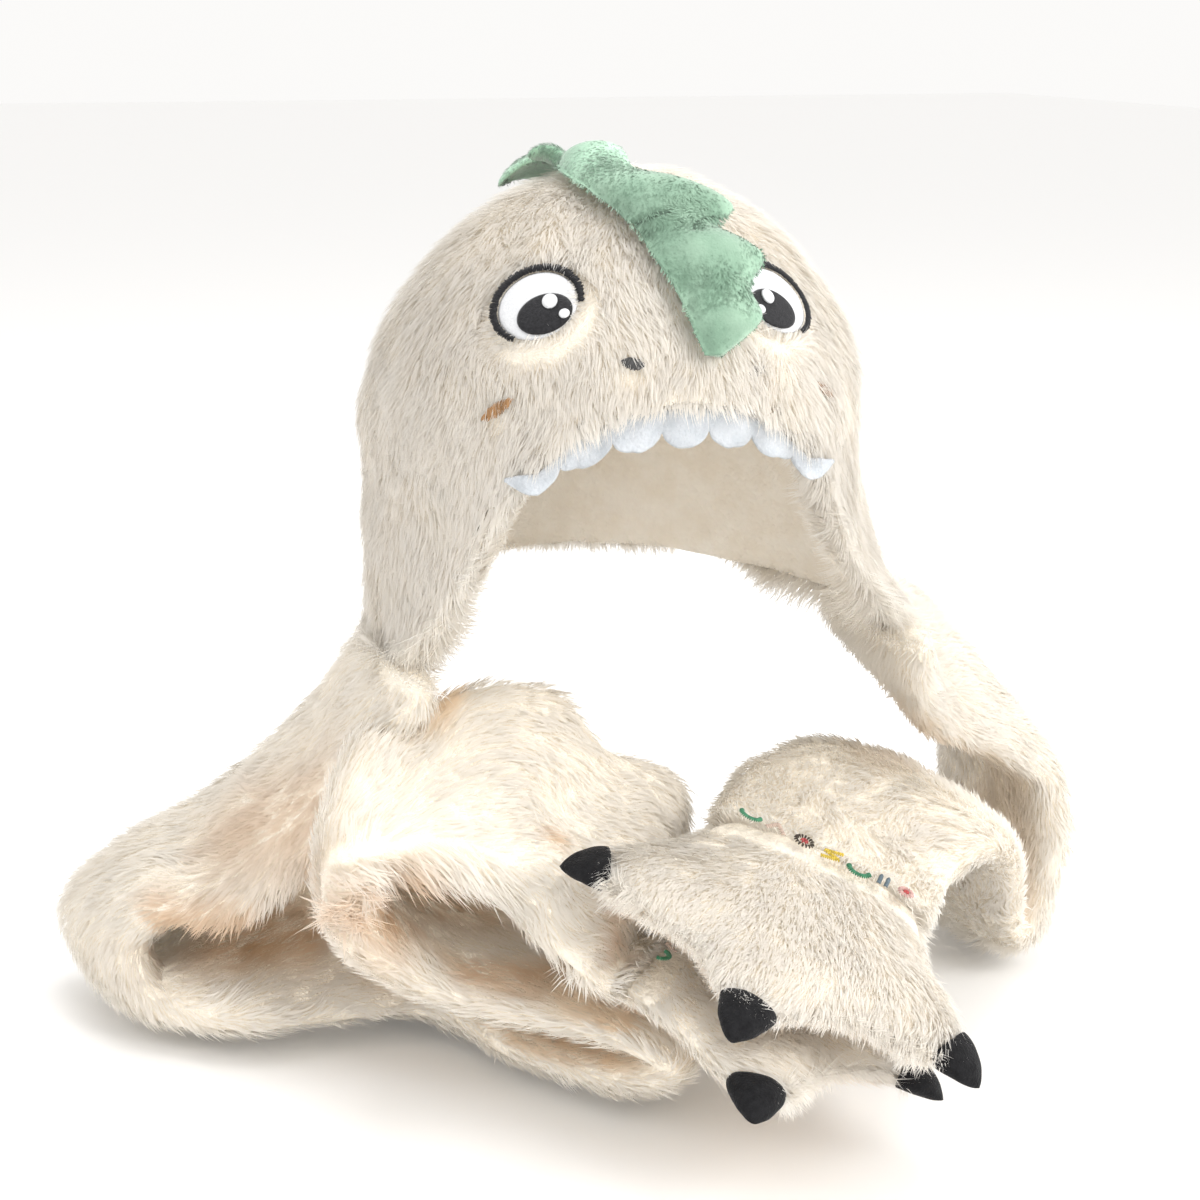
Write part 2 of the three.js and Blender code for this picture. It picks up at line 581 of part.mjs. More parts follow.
// Bends a paw: u runs from wrist to toes, v across, h out of its back
function onPaw(paw, u, v, h) {
  const walked = (Math.max(u, WRIST_PLANE) - WRIST_PLANE) * paw.size;
  const bendLength = PAW_BEND_LENGTH * paw.size;
  const slope = ((paw.toe_pitch - paw.wrist_pitch) * DEGREE) / bendLength;
  const start = paw.wrist_pitch * DEGREE;
  const pitch = start + slope * walked;
  const ahead = (Math.sin(pitch) - Math.sin(start)) / slope;
  const down = (Math.cos(start) - Math.cos(pitch)) / slope;
  const heading = paw.heading * DEGREE;
  const forward = new THREE.Vector3(Math.cos(heading), Math.sin(heading), 0);
  const sideways = new THREE.Vector3(-Math.sin(heading), Math.cos(heading), 0);
  const out = forward.clone().multiplyScalar(Math.sin(pitch)).add(new THREE.Vector3(0, 0, Math.cos(pitch)));
  const roll = paw.roll * DEGREE;
  const across = sideways.clone().multiplyScalar(Math.cos(roll)).addScaledVector(out, Math.sin(roll));
  const back = out.clone().multiplyScalar(Math.cos(roll)).addScaledVector(sideways, -Math.sin(roll));
  return new THREE.Vector3(paw.x, paw.y, paw.z)
    .addScaledVector(forward, ahead)
    .add(new THREE.Vector3(0, 0, -down))
    .addScaledVector(across, v * paw.size)
    .addScaledVector(back, h);
}

function pawGeometry(paw) {
  const sides = 30;
  const turns = Array.from({ length: sides }, (_, s) => (360 * s) / sides);
  const ring = (share, face, row) => turns.map((turn, s) => {
    const reach = pawReach(turn) * share;
    const pressed = 1 - (LOCK_DEPTH / PAW_THICKNESS) * ((Math.floor(s / 2) + row) % 2);
    const h = face * (PAW_THICKNESS / 2) * Math.sqrt(Math.max(0, 1 - share ** 2.4)) * pressed;
    return onPaw(paw, reach * Math.cos(turn * DEGREE), reach * Math.sin(turn * DEGREE), h);
  });
  const shares = [0.3, 0.55, 0.78, 0.93];
  const top = shares.map((share, row) => ring(share, 1, row));
  const bottom = shares.map((share, row) => ring(share, -1, row)).reverse();
  const poles = [1, -1].map((face) => onPaw(paw, 0, 0, (face * PAW_THICKNESS) / 2));
  return bodyFromRings([...top, ring(1, 1, 0), ...bottom], poles[0], poles[1]);
}

// Claw: a stuffed hook outside a toe, wide at its root and blunt at its tip
function clawGeometry(paw, toeAngle) {
  const sides = 12;
  const shares = [0, 0.25, 0.5, 0.75, 0.93];
  const root = pawReach(toeAngle) + CLAW.gap;
  const rings = shares.map((share) => {
    const slim = (1 - share ** 1.6) ** 0.7;
    return Array.from({ length: sides }, (_, s) => {
      const turn = (2 * Math.PI * s) / sides;
      const across = CLAW.half_width * slim * Math.cos(turn);
      const sag = (0.45 * across ** 2) / root;
      const reach = root + CLAW.length * share - sag * (1 - share);
      const h = CLAW.half_depth * slim * Math.sin(turn) - CLAW.droop * share ** 2;
      const a = toeAngle * DEGREE;
      const u = reach * Math.cos(a) - across * Math.sin(a);
      const v = reach * Math.sin(a) + across * Math.cos(a);
      return onPaw(paw, u, v, h);
    });
  });
  const tip = root + CLAW.length;
  const a = toeAngle * DEGREE;
  return bodyFromRings(rings, undefined, onPaw(paw, tip * Math.cos(a), tip * Math.sin(a), -CLAW.droop));
}

// Small sewn motif on a paw's back, raised a little over the fur
function motifGeometry(paw, motif) {
  const sides = 8;
  const turns = Array.from({ length: sides }, (_, s) => (2 * Math.PI * s) / sides);
  const base = PAW_THICKNESS / 2 + GAP;
  const ring = (share, h) => turns.map((turn) => {
    const u = MOTIF_ROW + motif.half_height * share * Math.sin(turn);
    const v = motif.v + motif.half_width * share * Math.cos(turn);
    return onPaw(paw, u, v, h);
  });
  return bodyFromRings([ring(1, base + PATCH_THICKNESS), ring(1, base)]);
}

addPiece('hood', hoodGeometry(), FUR);
addPiece('spike_ridge', ridgeGeometry(), GREEN_PLUSH);
addPiece('tooth_trim', trimGeometry(), FLEECE);

['right', 'left'].forEach((name) => {
  const place = (piece) => ({ around: piece[name][0], up: piece[name][1], tilt: piece.tilt });
  const eye = place(EYE);
  const pupilLift = 2 * GAP + PATCH_THICKNESS;
  const shineLift = 3 * GAP + 2 * PATCH_THICKNESS;
  const white = {
    half_width: EYE.half_width * EYE_WHITE_SHARE,
    half_height: EYE.half_height * EYE_WHITE_SHARE,
  };
  addPiece(`${name}_eye_white`, patchGeometry(eye, white, GAP, 24), WHITE_PATCH);
  addPiece(`${name}_eye_outline`, eyeRimGeometry(eye, GAP), BLACK_CLOTH);
  addPiece(`${name}_pupil`, patchGeometry(eye, PUPIL, pupilLift, 16, 1), BLACK_CLOTH);
  addPiece(`${name}_highlight`, patchGeometry(eye, HIGHLIGHT, shineLift, 10, 1), WHITE_PATCH);
  addPiece(`${name}_small_highlight`, patchGeometry(eye, SMALL_HIGHLIGHT, shineLift, 10, 1), WHITE_PATCH);
  addPiece(`${name}_nostril`, patchGeometry(place(NOSTRIL), NOSTRIL, GAP, 12, 1), GREY_THREAD);
  addPiece(`${name}_cheek_mark`, patchGeometry(place(CHEEK_MARK), CHEEK_MARK, GAP, 12, 1), BROWN_THREAD);
});

[['right', RIGHT_ARM, LOWER_PAW], ['left', LEFT_ARM, UPPER_PAW]].forEach(([name, table, paw]) => {
  addPiece(`${name}_arm`, armGeometry(table), FUR);
  addPiece(`${name}_paw`, pawGeometry(paw), FUR);
  [-SIDE_TOE_ANGLE, 0, SIDE_TOE_ANGLE].forEach((toe, i) => {
    addPiece(`${name}_claw_${i + 1}`, clawGeometry(paw, toe), BLACK_CLOTH);
  });
  MOTIFS.forEach((motif) => {
    const thread = new THREE.MeshStandardMaterial({ color: motif.color, roughness: 0.6, metalness: 0 });
    addPiece(`${name}_${motif.name}`, motifGeometry(paw, motif), thread);
  });
});

export default group;
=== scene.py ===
# %% [markdown]
# # A plush dinosaur hood with scarf arms and paws
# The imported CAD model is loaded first. It is the frame: every piece made here
# sits in the space of the solid that it stands for, in metres, with +Z up, the
# face looking along -Y and +X towards the wearer's left.

# %% Load the frame
import json
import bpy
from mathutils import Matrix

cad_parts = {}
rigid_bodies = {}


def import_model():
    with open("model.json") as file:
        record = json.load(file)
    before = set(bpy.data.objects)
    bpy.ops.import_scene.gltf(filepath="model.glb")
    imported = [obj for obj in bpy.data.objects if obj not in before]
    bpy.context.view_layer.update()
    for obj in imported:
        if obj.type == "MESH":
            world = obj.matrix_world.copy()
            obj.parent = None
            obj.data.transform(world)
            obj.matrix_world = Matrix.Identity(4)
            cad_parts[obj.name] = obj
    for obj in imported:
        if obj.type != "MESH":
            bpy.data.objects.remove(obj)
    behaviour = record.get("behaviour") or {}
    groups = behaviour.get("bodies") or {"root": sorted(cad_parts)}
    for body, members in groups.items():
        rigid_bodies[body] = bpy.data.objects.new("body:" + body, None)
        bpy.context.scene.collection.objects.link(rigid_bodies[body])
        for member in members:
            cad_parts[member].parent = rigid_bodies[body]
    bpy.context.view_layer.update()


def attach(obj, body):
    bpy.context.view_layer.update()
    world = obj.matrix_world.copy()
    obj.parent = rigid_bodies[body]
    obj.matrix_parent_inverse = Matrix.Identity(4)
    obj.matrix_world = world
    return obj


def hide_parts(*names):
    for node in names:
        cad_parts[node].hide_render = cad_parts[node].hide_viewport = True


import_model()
import bpy
import numpy as np
from mathutils import Vector
MM = 0.001

# %% [markdown]
# ## Sizes shared with the solids
# The hood is a rounded dome with straight sides, and its lower edge is a table
# of heights round the head. The same named sizes as in the solids are used, so
# that the fur grows exactly where the solids end.

# %% Hood sizes in millimetres
HALF_WIDTH, FRONT_DEPTH, BACK_DEPTH = 120.0, 126.0, 132.0
DOME_RADIUS, CROWN_WALL, SIDE_WALL = 120.0, 16.0, 17.0
DOME_CENTRE_Z = CROWN_WALL - DOME_RADIUS
FRONT_ROUNDNESS, BACK_ROUNDNESS = 2.0, 1.74
LEFT_FLAP_FLARE, FLARE_TOP, FLARE_HEIGHT = 32.0, -120.0, 90.0
MUZZLE_BULGE, MUZZLE_SPREAD, MUZZLE_HEIGHTS = 5.0, 34.0, (-20, -70)
LIP_DROP = 5.0
EDGE_ANGLE = np.array([0, 12, 24, 34, 42, 50, 62, 76, 92, 110, 132, 156, 180.0])
EDGE_Z = np.array([-75, -77, -87.5, -106, -128, -158, -186, -200, -204, -203, -198, -192, -190.0])
# Places on the face: degrees round from the brow's middle and up from the dome's centre.
RIGHT_EYE, LEFT_EYE = (-34.8, 33.2), (29.6, 32.8)
RIGHT_NOSTRIL, LEFT_NOSTRIL = (-11.6, 20.4), (17.1, 18.0)
RIGHT_CHEEK, LEFT_CHEEK = (-40.5, 10.4), (40.5, 11.2)
rng = np.random.default_rng(7)
print("Hood half width", HALF_WIDTH, "mm")

# %% [markdown]
# ## Small helpers for arrays
# `unit` scales vectors to length one. `smooth` is an S-shaped step. `noise` is
# smooth value noise: random numbers on a cubic lattice, blended between the
# eight corners round each point. `spline` is a Catmull-Rom curve through the
# rows of a table.

# %% Array helpers
def unit(v):
    """Each row divided by its own length."""
    return v / np.maximum(np.linalg.norm(v, axis=-1, keepdims=True), 1e-12)


def smooth(low, high, value):
    """3t^2 - 2t^3, with t running from 0 at low to 1 at high."""
    t = np.clip((value - low) / (high - low), 0, 1)
    return t * t * (3 - 2 * t)


def grid(u, v):
    """Each value of u with each value of v: two arrays with a row for each u."""
    return np.meshgrid(u, v, indexing="ij")


def circle(count, whole=2 * np.pi):
    """Even steps round a whole turn, which ends one step before it starts again."""
    return np.linspace(0, whole, count, endpoint=False)


LATTICE = np.random.default_rng(3).random((65536, 3))


def lattice(cell):
    """Three random numbers for each whole-numbered cell, found by mixing its indices."""
    c = cell.astype(np.int64)
    mixed = (c[..., 0] * 73856093) ^ (c[..., 1] * 19349663) ^ (c[..., 2] * 83492791)
    return LATTICE[mixed & 65535]


def noise(points, size):
    """Smooth noise from -1 to 1 in three channels, with cells of the given size in mm."""
    q = points / size
    cell = np.floor(q)
    f = q - cell
    f = f * f * (3 - 2 * f)
    total = np.zeros(points.shape)
    for corner in np.ndindex(2, 2, 2):
        c = np.array(corner)
        weight = np.prod(np.where(c == 1, f, 1 - f), axis=-1, keepdims=True)
        total += weight * lattice(cell + c)
    return 2 * total - 1


def spline(table, at):
    """Catmull-Rom through the table's rows, at fractional row numbers."""
    last = len(table) - 1
    i = np.minimum(last - 1, np.floor(at)).astype(int)
    f = (at - i)[..., None]
    p0, p1, p2, p3 = (table[np.clip(i + k, 0, last)] for k in (-1, 0, 1, 2))
    square = 2 * p0 - 5 * p1 + 4 * p2 - p3
    cube = 3 * p1 - p0 - 3 * p2 + p3
    return 0.5 * (2 * p1 + (p2 - p0) * f + square * f**2 + cube * f**3)


print("Noise at the origin:", noise(np.zeros((1, 3)), 10.0))

# %% [markdown]
# ## The hood's surface
# A point of the dome lies along a direction from the dome's centre, on a
# super-ellipsoid that is leaner at the back. Below the dome the wall hangs
# straight down to the edge. `around` is the angle from the brow and `along`
# runs from 0 at the crown to 1 at the edge.

# %% Dome
def direction(around, up):
    """Unit vector: `around` degrees from the brow, `up` degrees over the horizon."""
    a, u = np.radians(around), np.radians(up)
    return np.stack([np.cos(u) * np.sin(a), -np.cos(u) * np.cos(a), np.sin(u)], -1)


def dome_point(d, inset=0.0, crown_inset=0.0):
    """Where the direction d meets the super-ellipsoid |level|^p + |height|^p = 1."""
    level = np.hypot(d[..., 0], d[..., 1])
    ahead = np.where(level > 1e-9, -d[..., 1] / np.maximum(level, 1e-9), 0)
    p = FRONT_ROUNDNESS + (BACK_ROUNDNESS - FRONT_ROUNDNESS) * smooth(0.3, -0.4, ahead)
    reach = (level**p + np.abs(d[..., 2]) ** p) ** (-1 / p)
    depth = np.where(d[..., 1] < 0, FRONT_DEPTH, BACK_DEPTH)
    x = (HALF_WIDTH - inset) * d[..., 0] * reach
    y = (depth - inset) * d[..., 1] * reach
    z = DOME_CENTRE_Z + (DOME_RADIUS - crown_inset) * d[..., 2] * reach
    return np.stack([x, y, z], -1)


def dome_normal(p):
    """Outward normal at p: each coordinate from the centre over its half axis squared."""
    depth = np.where(p[..., 1] < 0, FRONT_DEPTH, BACK_DEPTH)
    return unit(np.stack([p[..., 0] / HALF_WIDTH**2, p[..., 1] / depth**2,
                          (p[..., 2] - DOME_CENTRE_Z) / DOME_RADIUS**2], -1))


def muzzle(around, z):
    """Share of the muzzle's bulge: a bell over the angle, growing down the face."""
    return np.exp(-((around / MUZZLE_SPREAD) ** 2)) * smooth(*MUZZLE_HEIGHTS, z)


print("Normal on the crown:", dome_normal(np.array([0, 0, CROWN_WALL])))

# %% Wall
def wall_point(around, along, inset=0.0, crown_inset=0.0, drop=0.0):
    """Down the dome by arc length, then straight down to the edge's height.

    The outside alone, where inset is 0, has the muzzle's bulge."""
    around = (np.asarray(around, float) + 180) % 360 - 180
    rise = DOME_RADIUS - crown_inset
    bend = rise * np.pi / 2
    edge = np.interp(np.abs(around), EDGE_ANGLE, EDGE_Z)
    above = edge > DOME_CENTRE_Z
    brow = np.where(above, np.degrees(np.arcsin(np.clip((edge - DOME_CENTRE_Z) / rise, -1, 1))), 0)
    whole = np.where(above, bend * (1 - brow / 90), bend + DOME_CENTRE_Z - edge)
    walked = along * whole
    up = np.maximum(0, 90 * (1 - walked / bend))
    p = dome_point(direction(around, up), inset, crown_inset)
    p[..., 2] -= np.maximum(0, walked - bend) + drop
    low = np.maximum(0, (FLARE_TOP - p[..., 2]) / FLARE_HEIGHT) ** 1.5
    p[..., 0] += LEFT_FLAP_FLARE * low * np.maximum(0, np.sin(np.radians(around))) ** 2
    p[..., 1] -= MUZZLE_BULGE * muzzle(around, p[..., 2]) * (inset <= 0)
    return p


print("Crown", wall_point(0.0, 0.0), "brow edge", wall_point(0.0, 1.0))

# %% [markdown]
# ## The arms and paws
# An arm is a soft flat tube: an oval section is carried along a route, a row of
# the table for each section, with the way its width points. A paw is a padded
# disc with three rounded toes, bent downwards from the wrist.

# %% Arm tables
# Columns: x, y, z, heading, tilt, width, thickness.
RIGHT_ARM = np.array([
    [-110, -14, -213, 90, 0, 122, 24],
    [-116, -10, -228, 91, 2, 120, 30],
    [-143, 16, -278, 88, 10, 116, 32],
    [-188, 42, -326, 88, 12, 116, 32],
    [-230, 56, -345, 96, -1, 108, 32],
    [-252, 64, -369, 104, -4, 100, 34],
    [-241, 50, -392, 102, 0, 104, 32],
    [-197, 31, -388, 94, 6, 116, 32],
    [-147, 31, -379, 88, 17, 120, 29],
    [-97, 26, -387, 85, 11, 116, 26],
    [-52, -29, -397, 71, 0, 121, 25],
    [-14, -78, -395, 68, 0, 117, 27],
    [9, -99, -382, 67, 1, 116, 29],
    [-17, -82, -368, 67, 1, 117, 27],
    [-80, -47, -357, 71, 5, 112, 29],
    [-132, -48, -326, 79, 9, 103, 32],
    [-142, -76, -272, 65, 40, 79, 32],
    [-117, -67, -263, 64, 40, 87, 32],
    [-86, -65, -262, 61, 38, 107, 32],
    [-59, -73, -270, 58, 38, 114, 32],
    [-43, -92, -289, 55, 35, 111, 30],
    [-18, -92, -305, 51, 19, 136, 28],
    [-16, -105, -337, 50, -6, 116, 27],
    [-7, -113, -340, 50, -6, 116, 26],
], float)
LEFT_ARM = np.array([
    [142, -6, -214, 92, 0, 118, 22],
    [147, -1, -229, 92, 8, 116, 28],
    [174, 26, -246, 88, 30, 114, 30],
    [211, 46, -270, 92, 28, 112, 32],
    [238, 50, -304, 100, 12, 110, 32],
    [242, 42, -346, 102, 2, 108, 30],
    [229, 27, -382, 100, 0, 106, 28],
    [212, 17, -394, 100, 0, 106, 26],
    [198, 4, -372, 102, 2, 106, 28],
    [188, -8, -342, 106, 4, 108, 30],
    [168, -26, -316, 116, 12, 112, 30],
    [134, -50, -300, 132, 18, 114, 30],
    [98, -78, -301, 144, 23, 116, 30],
    [68, -122, -303, 149, 23, 114, 28],
], float)
print("Right arm rows", len(RIGHT_ARM), "left arm rows", len(LEFT_ARM))

# %% Arm sections
# Powers of cosine and sine: a little under 1 makes the oval fuller at its corners.
WIDTH_POWER, THICKNESS_POWER = 0.75, 0.85


def section(table, at, step):
    """The row at `at`, and the unit vectors ahead, wide and through.

    Ahead joins the centres a step before and after, wide follows the row's heading
    and tilt, and through is their cross product."""
    last = len(table) - 1
    row = spline(table, at)
    ahead = spline(table, np.minimum(last, at + step)) - spline(table, np.maximum(0, at - step))
    ahead = unit(ahead[..., :3])
    heading, tilt = np.radians(row[..., 3]), np.radians(row[..., 4])
    level = np.cos(tilt)
    wide = np.stack([np.cos(heading) * level, np.sin(heading) * level, np.sin(tilt)], -1)
    return row, ahead, wide, unit(np.cross(ahead, wide))


def arm_point(table, at, turn, inset=0.0):
    """Centre + width * cos^0.75 + thickness * sin^0.85 round the section at row `at`."""
    row, _, wide, through = section(table, at, 0.02)
    a = np.sign(np.cos(turn)) * np.abs(np.cos(turn)) ** WIDTH_POWER
    b = np.sign(np.sin(turn)) * np.abs(np.sin(turn)) ** THICKNESS_POWER
    out = row[..., :3] + wide * (a * (row[..., 5] / 2 - inset))[..., None]
    return out + through * (b * (row[..., 6] / 2 - inset))[..., None]


print("Right wrist at", spline(RIGHT_ARM, np.array([len(RIGHT_ARM) - 1.0]))[0, :3])

# %% Paw shape
# x, y, z, heading, wrist pitch, toe pitch, roll, size
LOWER_PAW = (-5, -115, -341, -41, 14, 17, -6, 0.94)
UPPER_PAW = (67, -124, -303, 235, 9, 4, -23, 0.94)
PAW_THICKNESS, PALM_RADIUS, PAW_LENGTH, WRIST_PLANE, SIDE_TOE = 30.0, 66.0, 150.0, -46.0, 67.0
# Height in mm and half width in degrees of the bumps on the palm's round edge.
MIDDLE_TOE, OUTER_TOE, WRIST = (18, 20), (30, 22), (22, 40)
TOES, MOTIF_ROW = (-SIDE_TOE, 0.0, SIDE_TOE), -36.0


def turned(degrees):
    """The same angle between -180 and 180 degrees."""
    return (degrees + 180) % 360 - 180


def paw_reach(turn):
    """Palm radius plus a rounded bump for each toe and one for the wrist."""
    def bump(at, shape):
        return shape[0] * np.exp(-((turned(turn - at) / shape[1]) ** 2))
    toes = bump(0, MIDDLE_TOE) + bump(SIDE_TOE, OUTER_TOE) + bump(-SIDE_TOE, OUTER_TOE)
    return PALM_RADIUS + toes + bump(180, WRIST)


def on_paw(paw, u, v, h):
    """Bends flat paw coordinates: u from wrist to toes, v across, h out of its back."""
    x, y, z, heading, wrist_pitch, toe_pitch, roll, size = paw
    walked = (np.maximum(u, WRIST_PLANE) - WRIST_PLANE) * size
    slope = np.radians(toe_pitch - wrist_pitch) / (PAW_LENGTH * size)
    start = np.radians(wrist_pitch)
    pitch = start + slope * walked
    ahead = (np.sin(pitch) - np.sin(start)) / slope
    down = (np.cos(start) - np.cos(pitch)) / slope
    turn, lean = np.radians(heading), np.radians(roll)
    forward = np.array([np.cos(turn), np.sin(turn), 0])
    sideways = np.array([-np.sin(turn), np.cos(turn), 0])
    up = np.array([0, 0, 1.0])
    out = forward * np.sin(pitch)[..., None] + up * np.cos(pitch)[..., None]
    across = sideways * np.cos(lean) + out * np.sin(lean)
    back = out * np.cos(lean) - sideways * np.sin(lean)
    p = np.array([x, y, z]) + forward * ahead[..., None] - up * down[..., None]
    return p + across * (v * size)[..., None] + back * np.asarray(h)[..., None]


def paw_point(paw, share, turn, inset=0.0):
    """Paw surface: share 0..1 over the back from the middle to the rim, 1..2 back underneath."""
    side = np.where(share <= 1, 1.0, -1.0)
    s = np.where(share <= 1, share, 2 - share)
    reach = (paw_reach(turn) - inset) * s
    h = side * (PAW_THICKNESS / 2 - inset) * np.sqrt(np.maximum(0, 1 - s**2.4))
    a = np.radians(turn)
    return on_paw(paw, reach * np.cos(a), reach * np.sin(a), h)


print("Paw reach at the toes and the wrist:", paw_reach(np.array([0, SIDE_TOE, 180.0])))

# %% [markdown]
# ## Meshes from arrays
# `add_mesh` writes points and faces straight into a mesh with foreach_set. A
# grid of points becomes a tube when its columns meet again, and each open end
# is closed with a fan to its middle. Normals can be given, so that thin strands
# of fur are shaded like the soft surface that they grow from.

# %% Mesh helpers
def add_mesh(name, points, faces, colours=None, normals=None):
    """A mesh object from points in mm and a list of face arrays (n, 3) or (n, 4)."""
    mesh = bpy.data.meshes.new(name)
    mesh.vertices.add(len(points))
    mesh.vertices.foreach_set("co", (points * MM).astype(np.float32).ravel())
    counts = np.concatenate([np.full(len(f), f.shape[1]) for f in faces])
    loops = np.concatenate([f.ravel() for f in faces]).astype(np.int32)
    mesh.loops.add(len(loops))
    mesh.loops.foreach_set("vertex_index", loops)
    mesh.polygons.add(len(counts))
    starts = np.concatenate([[0], np.cumsum(counts)[:-1]]).astype(np.int32)
    mesh.polygons.foreach_set("loop_start", starts)
    mesh.polygons.foreach_set("use_smooth", np.ones(len(counts), bool))
    mesh.update(calc_edges=True)
    if colours is not None:
        layer = mesh.attributes.new("tint", "FLOAT_COLOR", "POINT")
        rgba = np.concatenate([colours, np.ones((len(colours), 1))], 1)
        layer.data.foreach_set("color", rgba.astype(np.float32).ravel())
    if normals is not None:
        mesh.normals_split_custom_set_from_vertices(normals.astype(np.float32))
    obj = bpy.data.objects.new(name, mesh)
    bpy.context.scene.collection.objects.link(obj)
    return obj


def tube_faces(rows, columns):
    """Quads between neighbouring rings, and fans to the two poles that follow the rings."""
    r, c = grid(np.arange(rows - 1), np.arange(columns))
    n = (c + 1) % columns
    here, there = r * columns, (r + 1) * columns
    quads = np.stack([here + c, here + n, there + n, there + c], -1).reshape(-1, 4)
    c, n, last, pole = c[0], n[0], (rows - 1) * columns, np.full(columns, rows * columns)
    low = np.stack([pole, n, c], -1)
    high = np.stack([pole + 1, last + c, last + n], -1)
    return quads, np.concatenate([low, high])


def face_outwards(points, quads, tris):
    """Turns every face round if the volume that they enclose comes out negative."""
    corner = points[np.concatenate([quads[:, [0, 1, 2]], quads[:, [0, 2, 3]], tris])]
    volume = np.einsum("ij,ij->i", corner[:, 0], np.cross(corner[:, 1], corner[:, 2])).sum()
    return [quads[:, ::-1], tris[:, ::-1]] if volume < 0 else [quads, tris]


def closed_tube(name, rings, start=None, end=None, colours=None):
    """Rings joined into a tube with a fan to a pole at each end, faces turned outwards."""
    poles = [rings[0].mean(0) if start is None else start, rings[-1].mean(0) if end is None else end]
    points = np.concatenate([rings.reshape(-1, 3), poles])
    faces = face_outwards(points, *tube_faces(*rings.shape[:2]))
    if colours is not None:
        flat = colours.reshape(-1, 3)
        colours = np.concatenate([flat, colours[0].mean(0)[None], colours[-1].mean(0)[None]])
    return add_mesh(name, points, faces, colours)


print("Quads and triangles of a tube of 3 rings:", [len(f) for f in tube_faces(3, 8)])

# %% [markdown]
# ## Scattering strands over a surface
# Deep fur is made of many narrow blades that grow out of a hidden skin. Their
# roots are spread evenly: the surface is cut into small cells, each cell gets
# strands in proportion to its area, and each strand a random place in its cell.
# Blades near each other bend towards a common point, which gives real fur its
# tufts, and their normals are those of the skin, so light falls on the whole
# coat softly.

# %% Scatter
def frame_at(surface, u, v, du, dv):
    """A point, its normal and the steps along u and v, whose cross product is the normal."""
    p = surface(u, v)
    a = surface(u + du, v) - surface(u - du, v)
    b = surface(u, v + dv) - surface(u, v - dv)
    return p, unit(np.cross(a, b)), a, b


def outwards(n, away):
    """Normals turned round where they don't look the same way as the vectors `away`."""
    return np.where((np.sum(n * away, -1) < 0)[..., None], -n, n)


def scatter(surface, u_range, v_range, cells, count, weight=lambda u, v: 1.0):
    """Random (u, v): a cell is drawn by area times weight, then a place within it."""
    ue = np.linspace(*u_range, cells[0] + 1)
    ve = np.linspace(*v_range, cells[1] + 1)
    g = surface(*grid(ue, ve))
    area = np.linalg.norm(np.cross(g[1:, 1:] - g[:-1, :-1], g[1:, :-1] - g[:-1, 1:]), axis=-1)
    um, vm = grid((ue[1:] + ue[:-1]) / 2, (ve[1:] + ve[:-1]) / 2)
    share = (area * weight(um, vm)).ravel().cumsum()
    pick = np.searchsorted(share / share[-1], rng.random(count))
    i, j = np.divmod(np.minimum(pick, area.size - 1), cells[1])
    u = ue[i] + rng.random(count) * (ue[1] - ue[0])
    v = ve[j] + rng.random(count) * (ve[1] - ve[0])
    return u, v


print("Scatter helpers are ready")

# %% Fur
# A turned frame for the tufts, so that their cells never line up with the piece.
TURN = np.linalg.qr(np.random.default_rng(5).normal(size=(3, 3)))[0]
# Shares of a blade's length below and above its bend, the share of its climb
# that it keeps above it, and the share of the tip's pull that the bend gets.
BELOW, ABOVE, CLIMB_KEPT, BEND_PULL = 0.55, 0.5, 0.35, 0.3


def level_out(v, n, share=1.0):
    """The vectors v less a share of what they have along the normal."""
    return v - n * np.sum(v * n, -1, keepdims=True) * share


def fur(name, p, n, flow, length, width, shade, tuft=12.0, pull=0.22, rise=0.5, root=3.2, swirl=0.6):
    """Leaf-shaped blades of two triangles: foot, two sides at the bend, and tip.

    From the foot the blade runs along normal * climb + flow. The flow turns with
    the noise by swirl, and the tip moves by pull towards its tuft's middle."""
    count = len(p)
    wild = noise(p, 21.0) + 0.45 * noise(p, 8.0)
    lay = unit(level_out(flow + swirl * wild, n))
    flow = unit(level_out(lay + 0.14 * rng.normal(size=p.shape), n))
    tall = (length * (0.75 + 0.5 * rng.random(count)))[:, None]
    climb = np.maximum(0.1, rise + 0.15 * rng.normal(size=count))[:, None]
    foot = p - n * root
    mid = foot + tall * BELOW * unit(n * climb + flow)
    tip = mid + tall * ABOVE * unit(n * climb * CLIMB_KEPT + flow)
    q = tip @ TURN + 5.0 * noise(tip + 300.0, 15.0)
    cell = np.floor(q / tuft)
    step = level_out(((cell + 0.25 + 0.5 * lattice(cell)) * tuft - q) @ TURN.T, n, 0.85)
    tip += step * pull
    mid += step * pull * BEND_PULL
    aside = unit(np.cross(flow, n) + 0.22 * rng.normal(size=p.shape))
    half = (width * (0.65 + 0.7 * rng.random(count)) / 2)[:, None]
    points = np.stack([foot, mid - aside * half, mid + aside * half, tip], 1)
    first = np.arange(count)[:, None] * 4
    faces = np.concatenate([first + [0, 2, 1], first + [1, 2, 3]])
    a, b, c = (points.reshape(-1, 3)[faces[:, k]] for k in range(3))
    facing = np.sum(np.cross(b - a, c - a) * np.tile(n, (2, 1)), -1) < 0
    faces[facing] = faces[facing][:, ::-1]
    soft = unit(n + 0.2 * lay + 0.1 * wild + 0.03 * rng.normal(size=p.shape))
    # The dark colour at each root is painted shade deep in the coat; the light colour is the tip's.
    dark, light = shade
    base = dark * (0.98 + 0.04 * rng.random(count))[:, None]
    end = np.minimum(light * (0.98 + 0.03 * rng.random(count))[:, None], 1)
    middle = 0.2 * base + 0.8 * end
    colours = np.stack([base, middle, middle, end], 1)
    return add_mesh(name, points.reshape(-1, 3), [faces], colours.reshape(-1, 3), np.repeat(soft, 4, 0))


print("A blade bends at", BELOW, "of its length")

